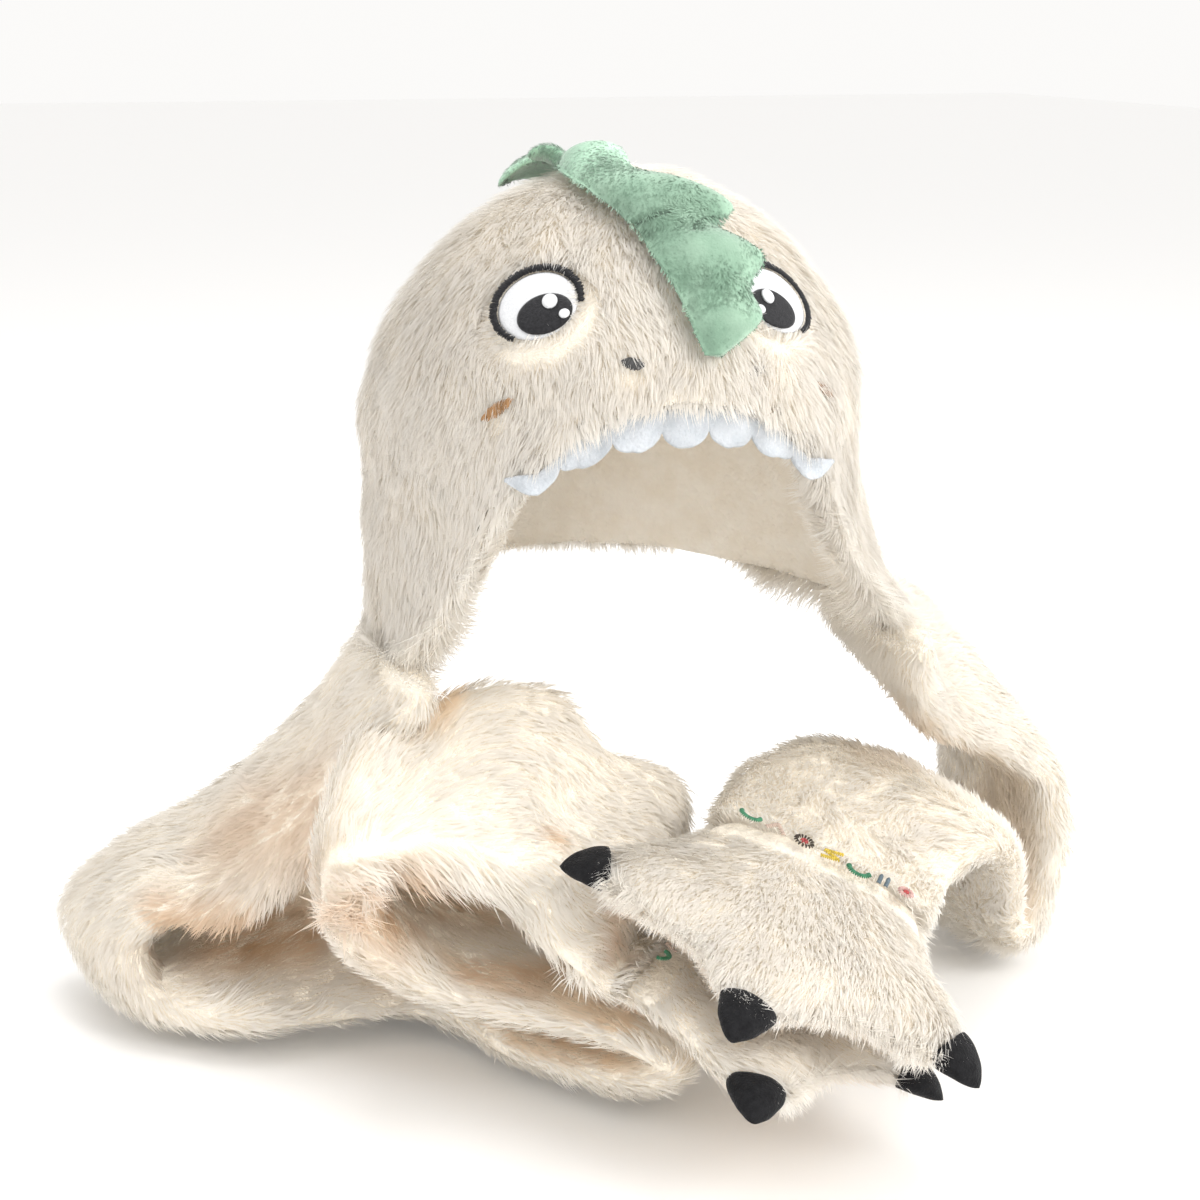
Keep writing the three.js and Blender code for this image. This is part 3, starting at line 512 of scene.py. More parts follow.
# %% [markdown]
# ## Threads
# Embroidery is short threads laid side by side. `threads` makes one small
# arched tube for each pair of ends, all at once.

# %% Thread helper
THREAD_RINGS, THREAD_SIDES = 5, 6


def threads(name, start, end, normal, radius, arch, colours):
    """Tube i follows start + t*(end - start) + normal*arch*sin(pi t), thinner at both ends."""
    count = len(start)
    t = np.linspace(0, 1, THREAD_RINGS)
    path = start[:, None] + (end - start)[:, None] * t[None, :, None]
    path = path + normal[:, None] * (arch * np.sin(np.pi * t))[None, :, None]
    side = unit(np.cross(end - start, normal))
    thick = radius * (0.55 + 0.45 * np.sin(np.pi * t) ** 0.5)
    turn = circle(THREAD_SIDES)
    ring = side[:, None, None] * np.cos(turn)[None, None, :, None]
    ring = ring + normal[:, None, None] * (0.8 * np.sin(turn))[None, None, :, None]
    points = path[:, :, None] + ring * thick[None, :, None, None]
    points = np.concatenate([points.reshape(count, -1, 3), path[:, :1], path[:, -1:]], 1)
    first = (np.arange(count) * points.shape[1])[:, None, None]
    faces = [(part[None] + first).reshape(-1, part.shape[1])
             for part in tube_faces(THREAD_RINGS, THREAD_SIDES)]
    flat = points.reshape(-1, 3)
    return add_mesh(name, flat, face_outwards(flat, *faces), np.repeat(colours, points.shape[1], 0))


def uneven(colour, count, least, more):
    """The colour once for each thread, times a random shade between least and least + more."""
    return np.tile(colour, (count, 1)) * (least + more * rng.random((count, 1)))


print("Rings and sides of a thread:", THREAD_RINGS, THREAD_SIDES)

# %% [markdown]
# ## Materials
# Two effects are shared by several materials, so each is a node group: a soft
# mottling of two colours, and the fine nap of plush and fleece. The shader
# itself stays in each material, with its plain values set on its own sockets.

# %% Node helpers
def new_group(name, inputs, outputs):
    """An empty shader group with named sockets; inputs are (name, type, default)."""
    group = bpy.data.node_groups.new(name, "ShaderNodeTree")
    for label, kind, value in inputs:
        socket = group.interface.new_socket(label, in_out="INPUT", socket_type=kind)
        socket.default_value = value
    for label, kind in outputs:
        group.interface.new_socket(label, in_out="OUTPUT", socket_type=kind)
    return group, group.nodes.new("NodeGroupInput"), group.nodes.new("NodeGroupOutput")


def put(node, values):
    """Sets the plain values of a node's input sockets, by name or by number."""
    for label, value in values.items():
        node.inputs[label].default_value = value
    return node


def add(tree, kind, links=(), values=(), **settings):
    """Adds a node with its settings, links its (input, source) pairs and puts its values."""
    node = tree.nodes.new(kind)
    for key, value in settings.items():
        setattr(node, key, value)
    for target, source in links:
        tree.links.new(source, node.inputs[target])
    return put(node, dict(values))


print("Node helpers are ready")

# %% Node groups
mottle, gin, gout = new_group(
    "mottle",
    [("Colour", "NodeSocketColor", (1, 1, 1, 1)), ("Shade", "NodeSocketColor", (0.8, 0.8, 0.8, 1)),
     ("Scale", "NodeSocketFloat", 60.0), ("Amount", "NodeSocketFloat", 0.5)],
    [("Colour", "NodeSocketColor"), ("Mask", "NodeSocketFloat")])
place = add(mottle, "ShaderNodeTexCoord")
grain = add(mottle, "ShaderNodeTexNoise",
            [("Vector", place.outputs["Object"]), ("Scale", gin.outputs["Scale"])], {"Detail": 4.0})
steep = add(mottle, "ShaderNodeMapRange", [("Value", grain.outputs["Fac"])],
            {"From Min": 0.38, "From Max": 0.62})
part = add(mottle, "ShaderNodeMath", [(0, steep.outputs[0]), (1, gin.outputs["Amount"])],
           operation="MULTIPLY")
blend = add(mottle, "ShaderNodeMix",
            [("Factor", part.outputs[0]), (6, gin.outputs["Colour"]), (7, gin.outputs["Shade"])],
            data_type="RGBA")
mottle.links.new(blend.outputs[2], gout.inputs["Colour"])
mottle.links.new(part.outputs[0], gout.inputs["Mask"])

nap, gin, gout = new_group(
    "nap",
    [("Fineness", "NodeSocketFloat", 900.0), ("Curl", "NodeSocketFloat", 350.0),
     ("Depth", "NodeSocketFloat", 0.3), ("Size", "NodeSocketFloat", 0.001)],
    [("Normal", "NodeSocketVector"), ("Height", "NodeSocketFloat")])
place = add(nap, "ShaderNodeTexCoord")
fine = add(nap, "ShaderNodeTexNoise",
           [("Vector", place.outputs["Object"]), ("Scale", gin.outputs["Fineness"])], {"Detail": 3.0})
curl = add(nap, "ShaderNodeTexVoronoi",
           [("Vector", place.outputs["Object"]), ("Scale", gin.outputs["Curl"])])
both = add(nap, "ShaderNodeMath", [(0, fine.outputs["Fac"]), (1, curl.outputs["Distance"])],
           operation="SUBTRACT")
bump = add(nap, "ShaderNodeBump", [("Height", both.outputs[0]), ("Strength", gin.outputs["Depth"]),
                                   ("Distance", gin.outputs["Size"])])
nap.links.new(bump.outputs[0], gout.inputs["Normal"])
nap.links.new(both.outputs[0], gout.inputs["Height"])
print("Node groups:", [g.name for g in bpy.data.node_groups])

# %% Materials from the groups
def cloth(name, colour, shade, scale, amount, rough, sheen, nap_values=None, tint=False):
    """Principled cloth: mottled colour (over a painted tint if asked) and a napped surface."""
    material = bpy.data.materials.new(name)
    material.use_nodes = True
    tree = material.node_tree
    shader = put(tree.nodes["Principled BSDF"], {"Roughness": rough, "Sheen Weight": sheen,
                                                 "Sheen Roughness": 0.45, "Specular IOR Level": 0.2})
    spots = add(tree, "ShaderNodeGroup", node_tree=mottle)
    put(spots, {"Colour": (*colour, 1), "Shade": (*shade, 1), "Scale": scale, "Amount": amount})
    out = spots.outputs["Colour"]
    if tint:
        layer = add(tree, "ShaderNodeAttribute", attribute_name="tint")
        both = add(tree, "ShaderNodeMix", [(6, out), (7, layer.outputs["Color"])], {"Factor": 1.0},
                   data_type="RGBA", blend_type="MULTIPLY")
        out = both.outputs[2]
    tree.links.new(out, shader.inputs["Base Color"])
    if nap_values is not None:
        pile = add(tree, "ShaderNodeGroup", node_tree=nap)
        put(pile, dict(zip(("Fineness", "Curl", "Depth", "Size"), nap_values)))
        tree.links.new(pile.outputs["Normal"], shader.inputs["Normal"])
    return material


# Name, two colours, scale and amount of the mottling, roughness, sheen, then the nap.
FUR_CLOTH = cloth("long_fur", (0.945, 0.937, 0.925), (0.905, 0.885, 0.85), 45.0, 0.35, 0.9, 0.2, tint=True)
HIDE_CLOTH = cloth("fur_backing", (0.97, 0.95, 0.91), (0.90, 0.85, 0.77), 70.0, 0.6, 0.95, 0.2,
                   (700.0, 260.0, 0.6, 0.0015), tint=True)
GREEN_CLOTH = cloth("sage_plush", (0.30, 0.455, 0.34), (0.20, 0.335, 0.24), 55.0, 0.7, 0.85, 0.55,
                    (1400.0, 700.0, 0.35, 0.0006), tint=True)
FLEECE_CLOTH = cloth("pale_fleece", (0.62, 0.65, 0.69), (0.50, 0.545, 0.59), 160.0, 0.5, 0.95, 0.35,
                     (1100.0, 520.0, 0.55, 0.0010), tint=True)
BLACK_PLUSH = cloth("black_plush", (0.007, 0.007, 0.008), (0.018, 0.018, 0.02), 300.0, 0.5, 0.9, 0.06,
                    (1500.0, 800.0, 0.5, 0.0008))
WHITE_FELT = cloth("white_cloth", (0.72, 0.73, 0.75), (0.62, 0.63, 0.65), 700.0, 0.5, 0.75, 0.2,
                   (2600.0, 1500.0, 0.4, 0.0003))
BLACK_CLOTH = cloth("black_cloth", (0.012, 0.012, 0.014), (0.03, 0.03, 0.034), 800.0, 0.6, 0.45, 0.1,
                    (2600.0, 1600.0, 0.5, 0.0003))
THREAD = cloth("embroidery_thread", (0.66, 0.66, 0.66), (0.5, 0.5, 0.5), 1200.0, 0.4, 0.42, 0.1, tint=True)
print("Materials:", [m.name for m in bpy.data.materials])

# %% [markdown]
# Light that enters deep fur comes out again all round, so a share of the fur's
# shader is Translucent. `dress` is the last step for each piece: its material,
# its place among the frame's bodies, and the hidden solid that it stands for.

# %% Light through the fur
LIGHT_THROUGH, THROUGH_COLOUR = 0.55, (0.99, 0.96, 0.91, 1)
tree = FUR_CLOTH.node_tree
shader = tree.nodes["Principled BSDF"]
glow = add(tree, "ShaderNodeBsdfTranslucent", values={"Color": THROUGH_COLOUR})
mix = add(tree, "ShaderNodeMixShader", [(1, shader.outputs[0]), (2, glow.outputs[0])], {0: LIGHT_THROUGH})
tree.links.new(mix.outputs[0], tree.nodes["Material Output"].inputs["Surface"])


def dress(obj, material, node=None, parent=None):
    """Gives a piece its material and its place among the frame's bodies."""
    obj.data.materials.append(material)
    if parent is not None:
        obj.parent = parent
    else:
        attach(obj, "root")
    if node is not None:
        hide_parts(node)
    return obj


print("Light through the fur:", LIGHT_THROUGH)

# %% [markdown]
# ## The hood
# One closed shell runs from the crown down the outside, round the lip and up
# the inside to the crown again. Outside it lies a few millimetres under the
# solid's surface, because the fur's tips reach that surface. Inside it is the
# short lining that touches the head.

# %% Hood skin
LIP_END = 1.15
HIDE_DEPTH = 2.2
# WARM_SHADE is painted shade deep in the coat: it tints the hidden skin and the roots of the strands, while
# the tips are CREAM. LINING is the lining's own colour.
WARM_SHADE, CREAM = np.array([0.97, 0.925, 0.85]), np.array([1.0, 0.99, 0.97])
HIDE_TINT, LINING = WARM_SHADE * 0.98, np.array([0.90, 0.86, 0.80])
HOOD_MIDDLE = [0, 0, -110]
OUTER_POLE, INNER_POLE = np.array([0, 0, CROWN_WALL - 6.5]), np.array([0, 0, 0.5])


def hood_skin(around, v):
    """v 0..1 is the outer wall, up to LIP_END the rounded lip, and on to LIP_END + 1 the inside."""
    outer = wall_point(around, np.clip(v, 0, 1))
    turn = np.pi * np.clip((v - 1) / (LIP_END - 1), 0, 1)
    inset = np.maximum(1e-9, SIDE_WALL * (1 - np.cos(turn)) / 2)
    lip = wall_point(around, np.ones_like(v), inset, inset, LIP_DROP * np.sin(turn))
    inner = wall_point(around, np.clip(LIP_END + 1 - v, 0, 1), SIDE_WALL, CROWN_WALL)
    out = np.where((v <= 1)[..., None], outer, lip)
    return np.where((v > LIP_END)[..., None], inner, out)


rows = np.concatenate([np.linspace(0.012, 1, 70), np.linspace(1.02, LIP_END, 8),
                       np.linspace(LIP_END + 0.02, LIP_END + 0.985, 40)])
v, around = grid(rows, circle(132, 360.0) - 180)
p, n, _, _ = frame_at(hood_skin, around, v, 0.6, 0.004)
n = outwards(n, (p - HOOD_MIDDLE) * np.where(v > 1.08, -1, 1)[..., None])
deep = HIDE_DEPTH * smooth(LIP_END + 0.02, 1.0, v) + 0.8
skin = p - n * (deep + 1.1 * noise(p, 13.0)[..., 0])[..., None]
inside = smooth(1.05, LIP_END + 0.05, v)[..., None]
tint = HIDE_TINT * (1 - inside) + LINING * inside
hood_hide = closed_tube("hood_hide", skin, OUTER_POLE, INNER_POLE, tint)
dress(hood_hide, HIDE_CLOTH, "hood")
print("Hood skin points:", len(hood_hide.data.vertices))

# %% [markdown]
# The face pieces sit at places given by two angles on the dome. Steps in
# millimetres across and up from such a place follow the dome's own curve. The
# fur has to leave the eyes free, so an eye also has an oval of its own size.

# %% Places on the face
EYE_TILT, EYE_HALF_WIDTH, EYE_HALF_HEIGHT = 24, 20, 18


def beside_spot(spot, across, up, lift):
    """Steps across and up in mm over the hood from (around, up) degrees, lifted off the fur."""
    a = np.radians(spot[0])
    d = direction(spot[0], spot[1])
    right = np.array([np.cos(a), np.sin(a), 0])
    above = unit(np.cross(d, right))
    aside = unit(d + right * (across / HALF_WIDTH)[..., None] + above * (up / HALF_WIDTH)[..., None])
    q = dome_point(aside)
    normal = dome_normal(q)
    bulge = MUZZLE_BULGE * muzzle(spot[0], q[..., 2])
    return q + normal * (np.asarray(lift) + bulge)[..., None], normal


def face_place(spot, tilt, x, y, lift):
    """A place in a tilted face piece: x towards the midline side as in the solids, y up."""
    side = np.sign(spot[0])
    t = np.radians(tilt)
    across, up = x * np.cos(t) - y * np.sin(t), x * np.sin(t) + y * np.cos(t)
    return beside_spot(spot, -side * across, up, lift)


def eye_axes(spot):
    """An eye's middle, its axis towards the midline and its upright axis, both tilted."""
    zero = np.zeros(1)
    centre, ahead, above = (face_place(spot, EYE_TILT, zero + x, zero + y, zero)[0][0]
                            for x, y in ((0, 0), (5, 0), (0, 5)))
    return centre, unit(ahead - centre), unit(above - centre)


def eye_share(p, spot):
    """Distance from an eye's middle in units of its own half sizes, along its tilted axes."""
    centre, ax, ay = eye_axes(spot)
    return np.hypot((p - centre) @ ax / EYE_HALF_WIDTH, (p - centre) @ ay / EYE_HALF_HEIGHT)


print("Right eye's middle:", eye_axes(RIGHT_EYE)[0])

# %% [markdown]
# The hood's fur runs down from the crown, parts round the eyes and gets shorter
# there, and hangs a little longer over the ear flaps' edge. It is made as three
# pieces, so that no piece has too many triangles.

# %% Hood fur
# Mean length in mm, and the degrees from the brow behind which the fur is thinner.
FUR_LENGTH, REAR = 12.5, 100
CROWN_FLOW = np.array([0.35, -0.95, 0.0])
# Marks that the fur leaves nearly free, with the radius of the clearing in mm.
CLEARINGS = ((RIGHT_NOSTRIL, 3.5), (RIGHT_CHEEK, 5.0))


def swell(p, coarse, fine):
    """Soft unevenness of a coat in mm: broad waves of 24 mm and small ones of 10 mm."""
    return coarse * noise(p, 24.0)[:, 0] + fine * noise(p, 10.0)[:, 1]


def fur_length(p, mean, spread):
    """Mean length with slow changes over 30 mm."""
    return mean + spread * noise(p, 30.0)[:, 2]


def hood_weight(a, v):
    """Even in front, thinner behind and over the right marks, nothing inside the eyes."""
    q = hood_skin(a, v)
    open_eye = (eye_share(q, RIGHT_EYE) > 0.9) & (eye_share(q, LEFT_EYE) > 0.9)
    thin = np.ones_like(a)
    for spot, clear in CLEARINGS:
        middle = beside_spot(spot, np.zeros(1), np.zeros(1), 0)[0][0]
        thin *= 0.12 + 0.88 * smooth(clear, clear + 3, np.linalg.norm(q - middle, axis=-1))
    return np.where(np.abs(a) < REAR, 1.0, 0.62) * open_eye * thin


def hood_fur(name, count, a_range):
    """Fur over one range of angles: down the wall, away from the eyes, lower close to them."""
    a, v = scatter(hood_skin, a_range, (0.0, LIP_END - 0.03), (220, 260), count, hood_weight)
    p, n, _, dv = frame_at(hood_skin, a, v, 0.5, 0.003)
    centre = np.stack([0 * a, 0 * a, np.minimum(p[:, 2], DOME_CENTRE_Z)], -1)
    lip = v > 1.06
    n = np.where(lip[:, None], n, outwards(n, p - centre))
    n = np.where((lip & (n[:, 2] > 0.6))[:, None], -n, n)
    flow = unit(dv) * np.where(dv[:, 2] > 0, -1, 1)[:, None]
    flow[:, 2] -= 0.2
    crown = smooth(0.09, 0.01, v)[:, None]
    flow = flow * (1 - crown) + CROWN_FLOW * crown
    near = np.minimum(eye_share(p, RIGHT_EYE), eye_share(p, LEFT_EYE))
    p, n, flow, v, a, near = (x[near > 1.02] for x in (p, n, flow, v, a, near))
    over = np.zeros(len(p))
    for spot in (RIGHT_EYE, LEFT_EYE):
        middle, across, above = eye_axes(spot)
        share = eye_share(p, spot)
        part = smooth(1.6, 1.05, share)[:, None]
        away = unit(p - middle)
        below = smooth(-0.2, 0.35, away @ (0.5 * across - 0.87 * above)) * smooth(1.35, 1.15, share)
        flow = flow * (1 - part) + away * part * (1 - 2.2 * below)[:, None]
        over = np.maximum(over, below)
    calm = smooth(1.0, 1.7, near)
    p = p + n * (swell(p, 2.0, 0.9) * calm - 0.9 * (1 - calm) + 2.4 * over)[:, None]
    hang = smooth(0.955, 1.0, v) * smooth(50, 62, np.abs(a)) * smooth(134, 120, np.abs(a))
    length = fur_length(p, FUR_LENGTH, 1.5) * (0.6 + 0.4 * calm) + 12.0 * hang
    width = np.where(np.abs(a) < REAR, 0.52, 0.9)
    # The roots take the warm painted shade, which fades to cream close to the eyes.
    root = CREAM + (WARM_SHADE - CREAM) * calm[:, None]
    return dress(fur(name, p, n, flow, length, width, (root, CREAM)), FUR_CLOTH, parent=hood_hide)


hood_fur("hood_fur_front", 94000, (-95, 95))
hood_fur("hood_fur_right", 30000, (-180, -95))
hood_fur("hood_fur_left", 30000, (95, 180))
print("Hood fur pieces:", [c.name for c in hood_hide.children])

# %% [markdown]
# ## Arms
# The arms are one soft tube each. Where a fold lies over another, light that
# reaches the fur has gone through other fur and comes out warm. The strands
# close under a layer are painted a honey colour as shade, which is worked out from
# the layers' places, and the few deepest hollows get a darker painted shade of tan along short lines.

# %% Shade in the folds
# Painted shade colours: honey under another layer, a darker tan in the deepest hollows.
HONEY_SHADE, TAN_SHADE = np.array([1.0, 0.68, 0.37]), np.array([0.74, 0.42, 0.18])
# Painted tan shade in the hollows of the right arm, in mm: a line from one place to
# another, its half width, how strong the tan is, and the rows of the arm that it shades.
HOLLOWS = [
    ((-226, 4, -346), (-186, -12, -338), 12, 0.7, (2, 4.2)),
    ((-212, 28, -362), (-165, 15, -362), 18, 0.95, (4.6, 9)),
    ((-118, -40, -322), (-76, -28, -340), 28, 0.9, (12.5, 15.6)),
    ((-184, 14, -306), (-150, -26, -282), 25, 0.5, (1, 3.3)),
    ((-152, -92, -303), (-126, -84, -330), 13, 0.9, (14, 17)),
    ((-128, -98, -291), (-84, -60, -326), 9, 0.7, (13, 18)),
    ((-84, -88, -350), (-52, -98, -356), 10, 0.7, (10, 15)),
    ((-66, -102, -274), (-58, -103, -281), 3.5, 0.8, (17, 21)),
    ((-36, -124, -306), (-40, -138, -322), 7, 0.6, (20, 24)),
]
# How far out of the fur a layer is looked for, and how much one at that distance shades.
LOOKS = ((12.0, 1.0), (26.0, 0.85), (42.0, 0.6))
SECTION_GAP = 16


def hollow(p, a):
    """Painted shade: the strongest of strength * exp(-0.7 * (distance / half width)^2) over the hollows."""
    shade = np.zeros(len(p))
    for start, end, half, strength, (first, last) in HOLLOWS:
        start, way = np.array(start, float), np.array(end, float) - start
        part = np.clip((p - start) @ way / (way @ way), 0, 1)[:, None]
        off = np.linalg.norm(p - start - way * part, axis=1) / half
        shade = np.maximum(shade, strength * np.exp(-0.7 * off**2) * (a > first) * (a < last))
    return shade


def cover(table, p, n, a):
    """How far a point is under another layer of its arm, for painted shade: 1 where one lies close above it.
    """
    rows = np.arange(0, len(table) - 0.99, 0.5)
    row, _, wide, through = section(table, rows, 0.05)
    total = np.zeros(len(p))
    for reach, strength in LOOKS:
        q = p + n * reach
        for k in range(len(rows)):
            d = q - row[k, :3]
            w = np.abs(d @ wide[k]) / (row[k, 5] / 2)
            h = np.abs(d @ through[k]) / (row[k, 6] / 2)
            s = np.abs(d @ np.cross(wide[k], through[k])) / SECTION_GAP
            inside = smooth(1.2, 0.75, w) * smooth(1.3, 0.8, h) * smooth(1.4, 0.9, s)
            other = smooth(1.1, 1.7, np.abs(a - rows[k])) * smooth(0.2, 0.8, a)
            total = np.maximum(total, inside * strength * other)
    return total


print("Hollows of the right arm:", len(HOLLOWS))

# %% Arm skins and fur
DOWNWARDS = np.array([0, -0.2, -0.9])


def furry_hide(name, rings):
    """The closed skin that fur grows out of, which stands for the solid of the same name."""
    # The hidden skin is tinted with the painted shade of the coat's depth.
    tint = np.tile(HIDE_TINT, (*rings.shape[:2], 1))
    return dress(closed_tube(name + "_hide", rings, colours=tint), HIDE_CLOTH, name)


def arm(name, table, count):
    """Skin as a closed tube a few mm inside the solid, and fur that runs towards the paw.

    On the right arm, the hem of the upper layer and the lip of the front lobe are shaggy."""
    last = len(table) - 1
    right = name == "right_arm"
    rings = arm_point(table, *grid(np.linspace(0, last, last * 8 + 1), circle(56)), HIDE_DEPTH)
    middle = rings.mean(1, keepdims=True)
    rings = rings + unit(rings - middle) * (1.2 * noise(rings, 14.0)[..., :1])
    hide = furry_hide(name, rings)

    def skin(a, t):
        """From -1 to 0 the flat start, from its middle to its rim, and then the sides."""
        rim = arm_point(table, np.clip(a, 0, last), t)
        centre = spline(table, np.zeros_like(a))[..., :3]
        return np.where((a < 0)[..., None], centre + (rim - centre) * (1 + np.minimum(a, 0))[..., None], rim)

    a, t = scatter(skin, (-0.9, last), (0, 2 * np.pi), (250, 48), count)
    p, n, _, _ = frame_at(skin, a, t, 0.03, 0.06)
    ahead = section(table, np.clip(a, 0.1, last - 0.1), 0.05)[1]
    centre = spline(table, np.maximum(a, 0))[:, :3] + ahead * np.where(a < 0, 20.0, 0.0)[:, None]
    n = outwards(n, p - centre)
    flow = np.where((a < 0)[:, None], unit(p - table[0, :3]) + ahead, ahead)
    p = p + n * swell(p, 1.6, 1.1)[:, None]
    # Painted shade: strands under another layer turn honey, and those in the right arm's hollows a darker
    # tan.
    shade_under_layer = cover(table, p, n, a)[:, None] * (0.8 * smooth(-224, -192, p[:, :1]) if right else 0.4)
    deep = right * hollow(p, a)[:, None]
    dark = WARM_SHADE * (1 - shade_under_layer) + HONEY_SHADE * 0.92 * shade_under_layer
    light = CREAM * (1 - shade_under_layer) + (0.1 * CREAM + 0.9 * HONEY_SHADE) * shade_under_layer
    dark, light = dark + (TAN_SHADE - dark) * deep, light + (TAN_SHADE - light) * deep
    hem = right * smooth(1.7, 2.1, a) * smooth(3.7, 3.3, a) * (np.cos(t) < -0.6)
    lip = right * smooth(15.0, 15.6, a) * smooth(19.4, 18.6, a) * (np.cos(t) < -0.7)
    flow = flow + (hem + 1.3 * lip)[:, None] * DOWNWARDS
    length = fur_length(p, FUR_LENGTH, 1.5) + 3.0 * hem + 9.0 * lip
    dress(fur(name + "_fur", p, n, flow, length, 0.76, (dark, light)), FUR_CLOTH, parent=hide)


arm("right_arm", RIGHT_ARM, 95000)
arm("left_arm", LEFT_ARM, 56000)
print("Arms are furred")

# %% [markdown]
# ## Paws
# Each paw is a flat stuffed disc with three rounded toes. Its fur points from
# the wrist to the toes and is a little shorter than on the arms. It is pressed
# down along the row of stitches.

# %% Paw skins and fur
ROW_HALF_WIDTH, PAW_FUR_LENGTH = 6, 11.0
PAW_SHARES = np.concatenate([np.linspace(0.06, 0.94, 22), np.linspace(0.96, 1.04, 7),
                             np.linspace(1.06, 1.94, 22)])


def paw(name, place, count):
    """Skin: rings of the bent disc from the middle of its back to the middle underneath."""
    rings = paw_point(place, *grid(PAW_SHARES, circle(96, 360.0)), HIDE_DEPTH)
    rings = rings + 1.1 * noise(rings, 13.0)[..., :1] * np.array([0, 0, 1.0])
    hide = furry_hide(name, rings)

    def skin(s, t):
        return paw_point(place, np.clip(s, 0.02, 1.98), t)

    def at(u, h):
        return on_paw(place, np.full(1, u), np.zeros(1), np.full(1, h))[0]

    s, t = scatter(skin, (0.02, 1.98), (0, 360), (90, 120), count, lambda s, t: np.where(s < 1.1, 1.0, 0.7))
    p, n, _, _ = frame_at(skin, s, t, 0.012, 1.5)
    middle = at(0.0, 0.0)
    up, forward = unit(at(0.0, 1.0) - middle), unit(at(5.0, 0.0) - middle)
    n = outwards(n, unit(p - middle) * 0.2 + up * np.where(s <= 1, 1, -1)[:, None])
    flow = forward + 0.5 * unit(p - middle)
    off_row = ((p - middle) @ forward - MOTIF_ROW) / ROW_HALF_WIDTH
    pressed = np.exp(-(off_row**2)) * (s < 1) * (np.abs(t) > 20)
    p = p + n * (1.2 * noise(p, 20.0)[:, 0] + 0.8 * noise(p, 9.0)[:, 1] - 2.6 * pressed)[:, None]
    toe = sum(smooth(16, 9, np.abs(turned(t - toe_at))) for toe_at in TOES)
    length = fur_length(p, PAW_FUR_LENGTH, 1.0) + 4.5 * toe * smooth(0.8, 0.9, s) * smooth(1.2, 1.05, s)
    length = length * (1 - 0.45 * pressed)
    # Painted shade: the strands underneath the paw turn honey.
    under = smooth(1.0, 1.25, s)[:, None]
    dark = WARM_SHADE * (1 - under) + HONEY_SHADE * under
    light = CREAM * (1 - under) + (0.5 * CREAM + 0.5 * HONEY_SHADE) * under
    piece = fur(name + "_fur", p, n, flow, length, 0.58, (dark, light), tuft=10.0, swirl=0.45)
    dress(piece, FUR_CLOTH, parent=hide)


paw("right_paw", LOWER_PAW, 32000)
paw("left_paw", UPPER_PAW, 38000)
print("Paws are furred")

# %% [markdown]
# ## The spike ridge
# A padded double layer of short plush stands along the head and flops over to
# one side and the other. Its section is a loop: up one face, over the free
# edge and down the other face.

# %% Ridge shape
# Columns: up, side, height, flop, slide.
RIDGE = np.array([
    [21, 9, 5, 72, 0],
    [28, 5, 27, 78, 0],
    [35, 1, 30, 78, 0],
    [41, -3, 42, 76, 2],
    [48, -8, 32, 74, 0],
    [56, -14, 44, 74, -4],
    [65, -22, 22, 66, 0],
    [74, -27, 24, 64, 2],
    [82, -26, 11, 20, 0],
    [90, -22, 18, -62, -3],
    [99, -16, 14, -66, 0],
    [109, -10, 34, -84, 4],
    [120, -6, 22, -60, 0],
    [132, -3, 38, 20, 8],
    [143, 0, 22, 30, 0],
    [154, 0, 34, 30, 8],
    [167, 0, 5, 20, 0],
], float)
RIDGE_LAST = len(RIDGE) - 1
RIDGE_THICKNESS, RIDGE_REST = 8.0, 1.3


def beside_midline(up, aside, lift):
    """Point over the midline: an angle from the front horizon, mm aside, mm off the fur."""
    u, s = np.radians(up), aside / HALF_WIDTH
    q = dome_point(np.stack([np.sin(s), -np.cos(u) * np.cos(s), np.sin(u) * np.cos(s)], -1))
    bulge = MUZZLE_BULGE * muzzle(0.0, q[..., 2]) * (up < 90)
    return q + dome_normal(q) * (lift + bulge)[..., None]


def ridge_point(at, w):
    """w 0..1 climbs the first face from root to edge, 1..2 comes down the other."""
    row = spline(RIDGE, at)
    face = np.where(w <= 1, 1.0, -1.0)
    share = np.where(w <= 1, w, 2 - w)
    tall = np.maximum(4, row[..., 2]) * share
    flop = np.radians(row[..., 3]) * (0.45 + 0.55 * share)
    half = RIDGE_THICKNESS / 2 * np.sqrt(np.maximum(0.02, 1 - share**3))
    up = row[..., 0] + np.degrees(row[..., 4] * share / HALF_WIDTH)
    aside = row[..., 1] + tall * np.sin(flop) - face * half * np.cos(flop)
    rest = RIDGE_THICKNESS / 2 + RIDGE_REST
    lift = np.maximum(rest, tall * np.cos(flop) + rest * np.abs(np.sin(flop)))
    return beside_midline(up, aside, np.maximum(RIDGE_REST, lift + face * half * np.sin(flop)))


print("Ridge rows:", len(RIDGE))

# %% [markdown]
# Soft folds are pressed into the ridge along short lines over its rows and its
# height, the narrowest folds are painted darker as shade, and its plush is brushed
# paler and darker by noise.

# %% Ridge cloth
# Where a fold starts and ends (row, share of the height), its depth and half width in mm.
FOLDS = ((4.45, 0.02, 4.38, 0.48, 2.4, 2.2), (3.72, 0.60, 4.33, 0.98, 2.4, 2.2),
         (4.15, 0.0, 4.1, 1.0, 1.6, 7.0), (6.1, 0.0, 6.3, 0.8, 1.3, 7.0),
         (2.1, 0.15, 2.0, 0.9, 1.0, 8.0), (8.3, 0.0, 8.4, 0.9, 1.2, 6.0),
         (10.4, 0.0, 10.4, 0.8, 1.4, 5.0), (12.3, 0.1, 12.2, 0.9, 1.2, 6.0))
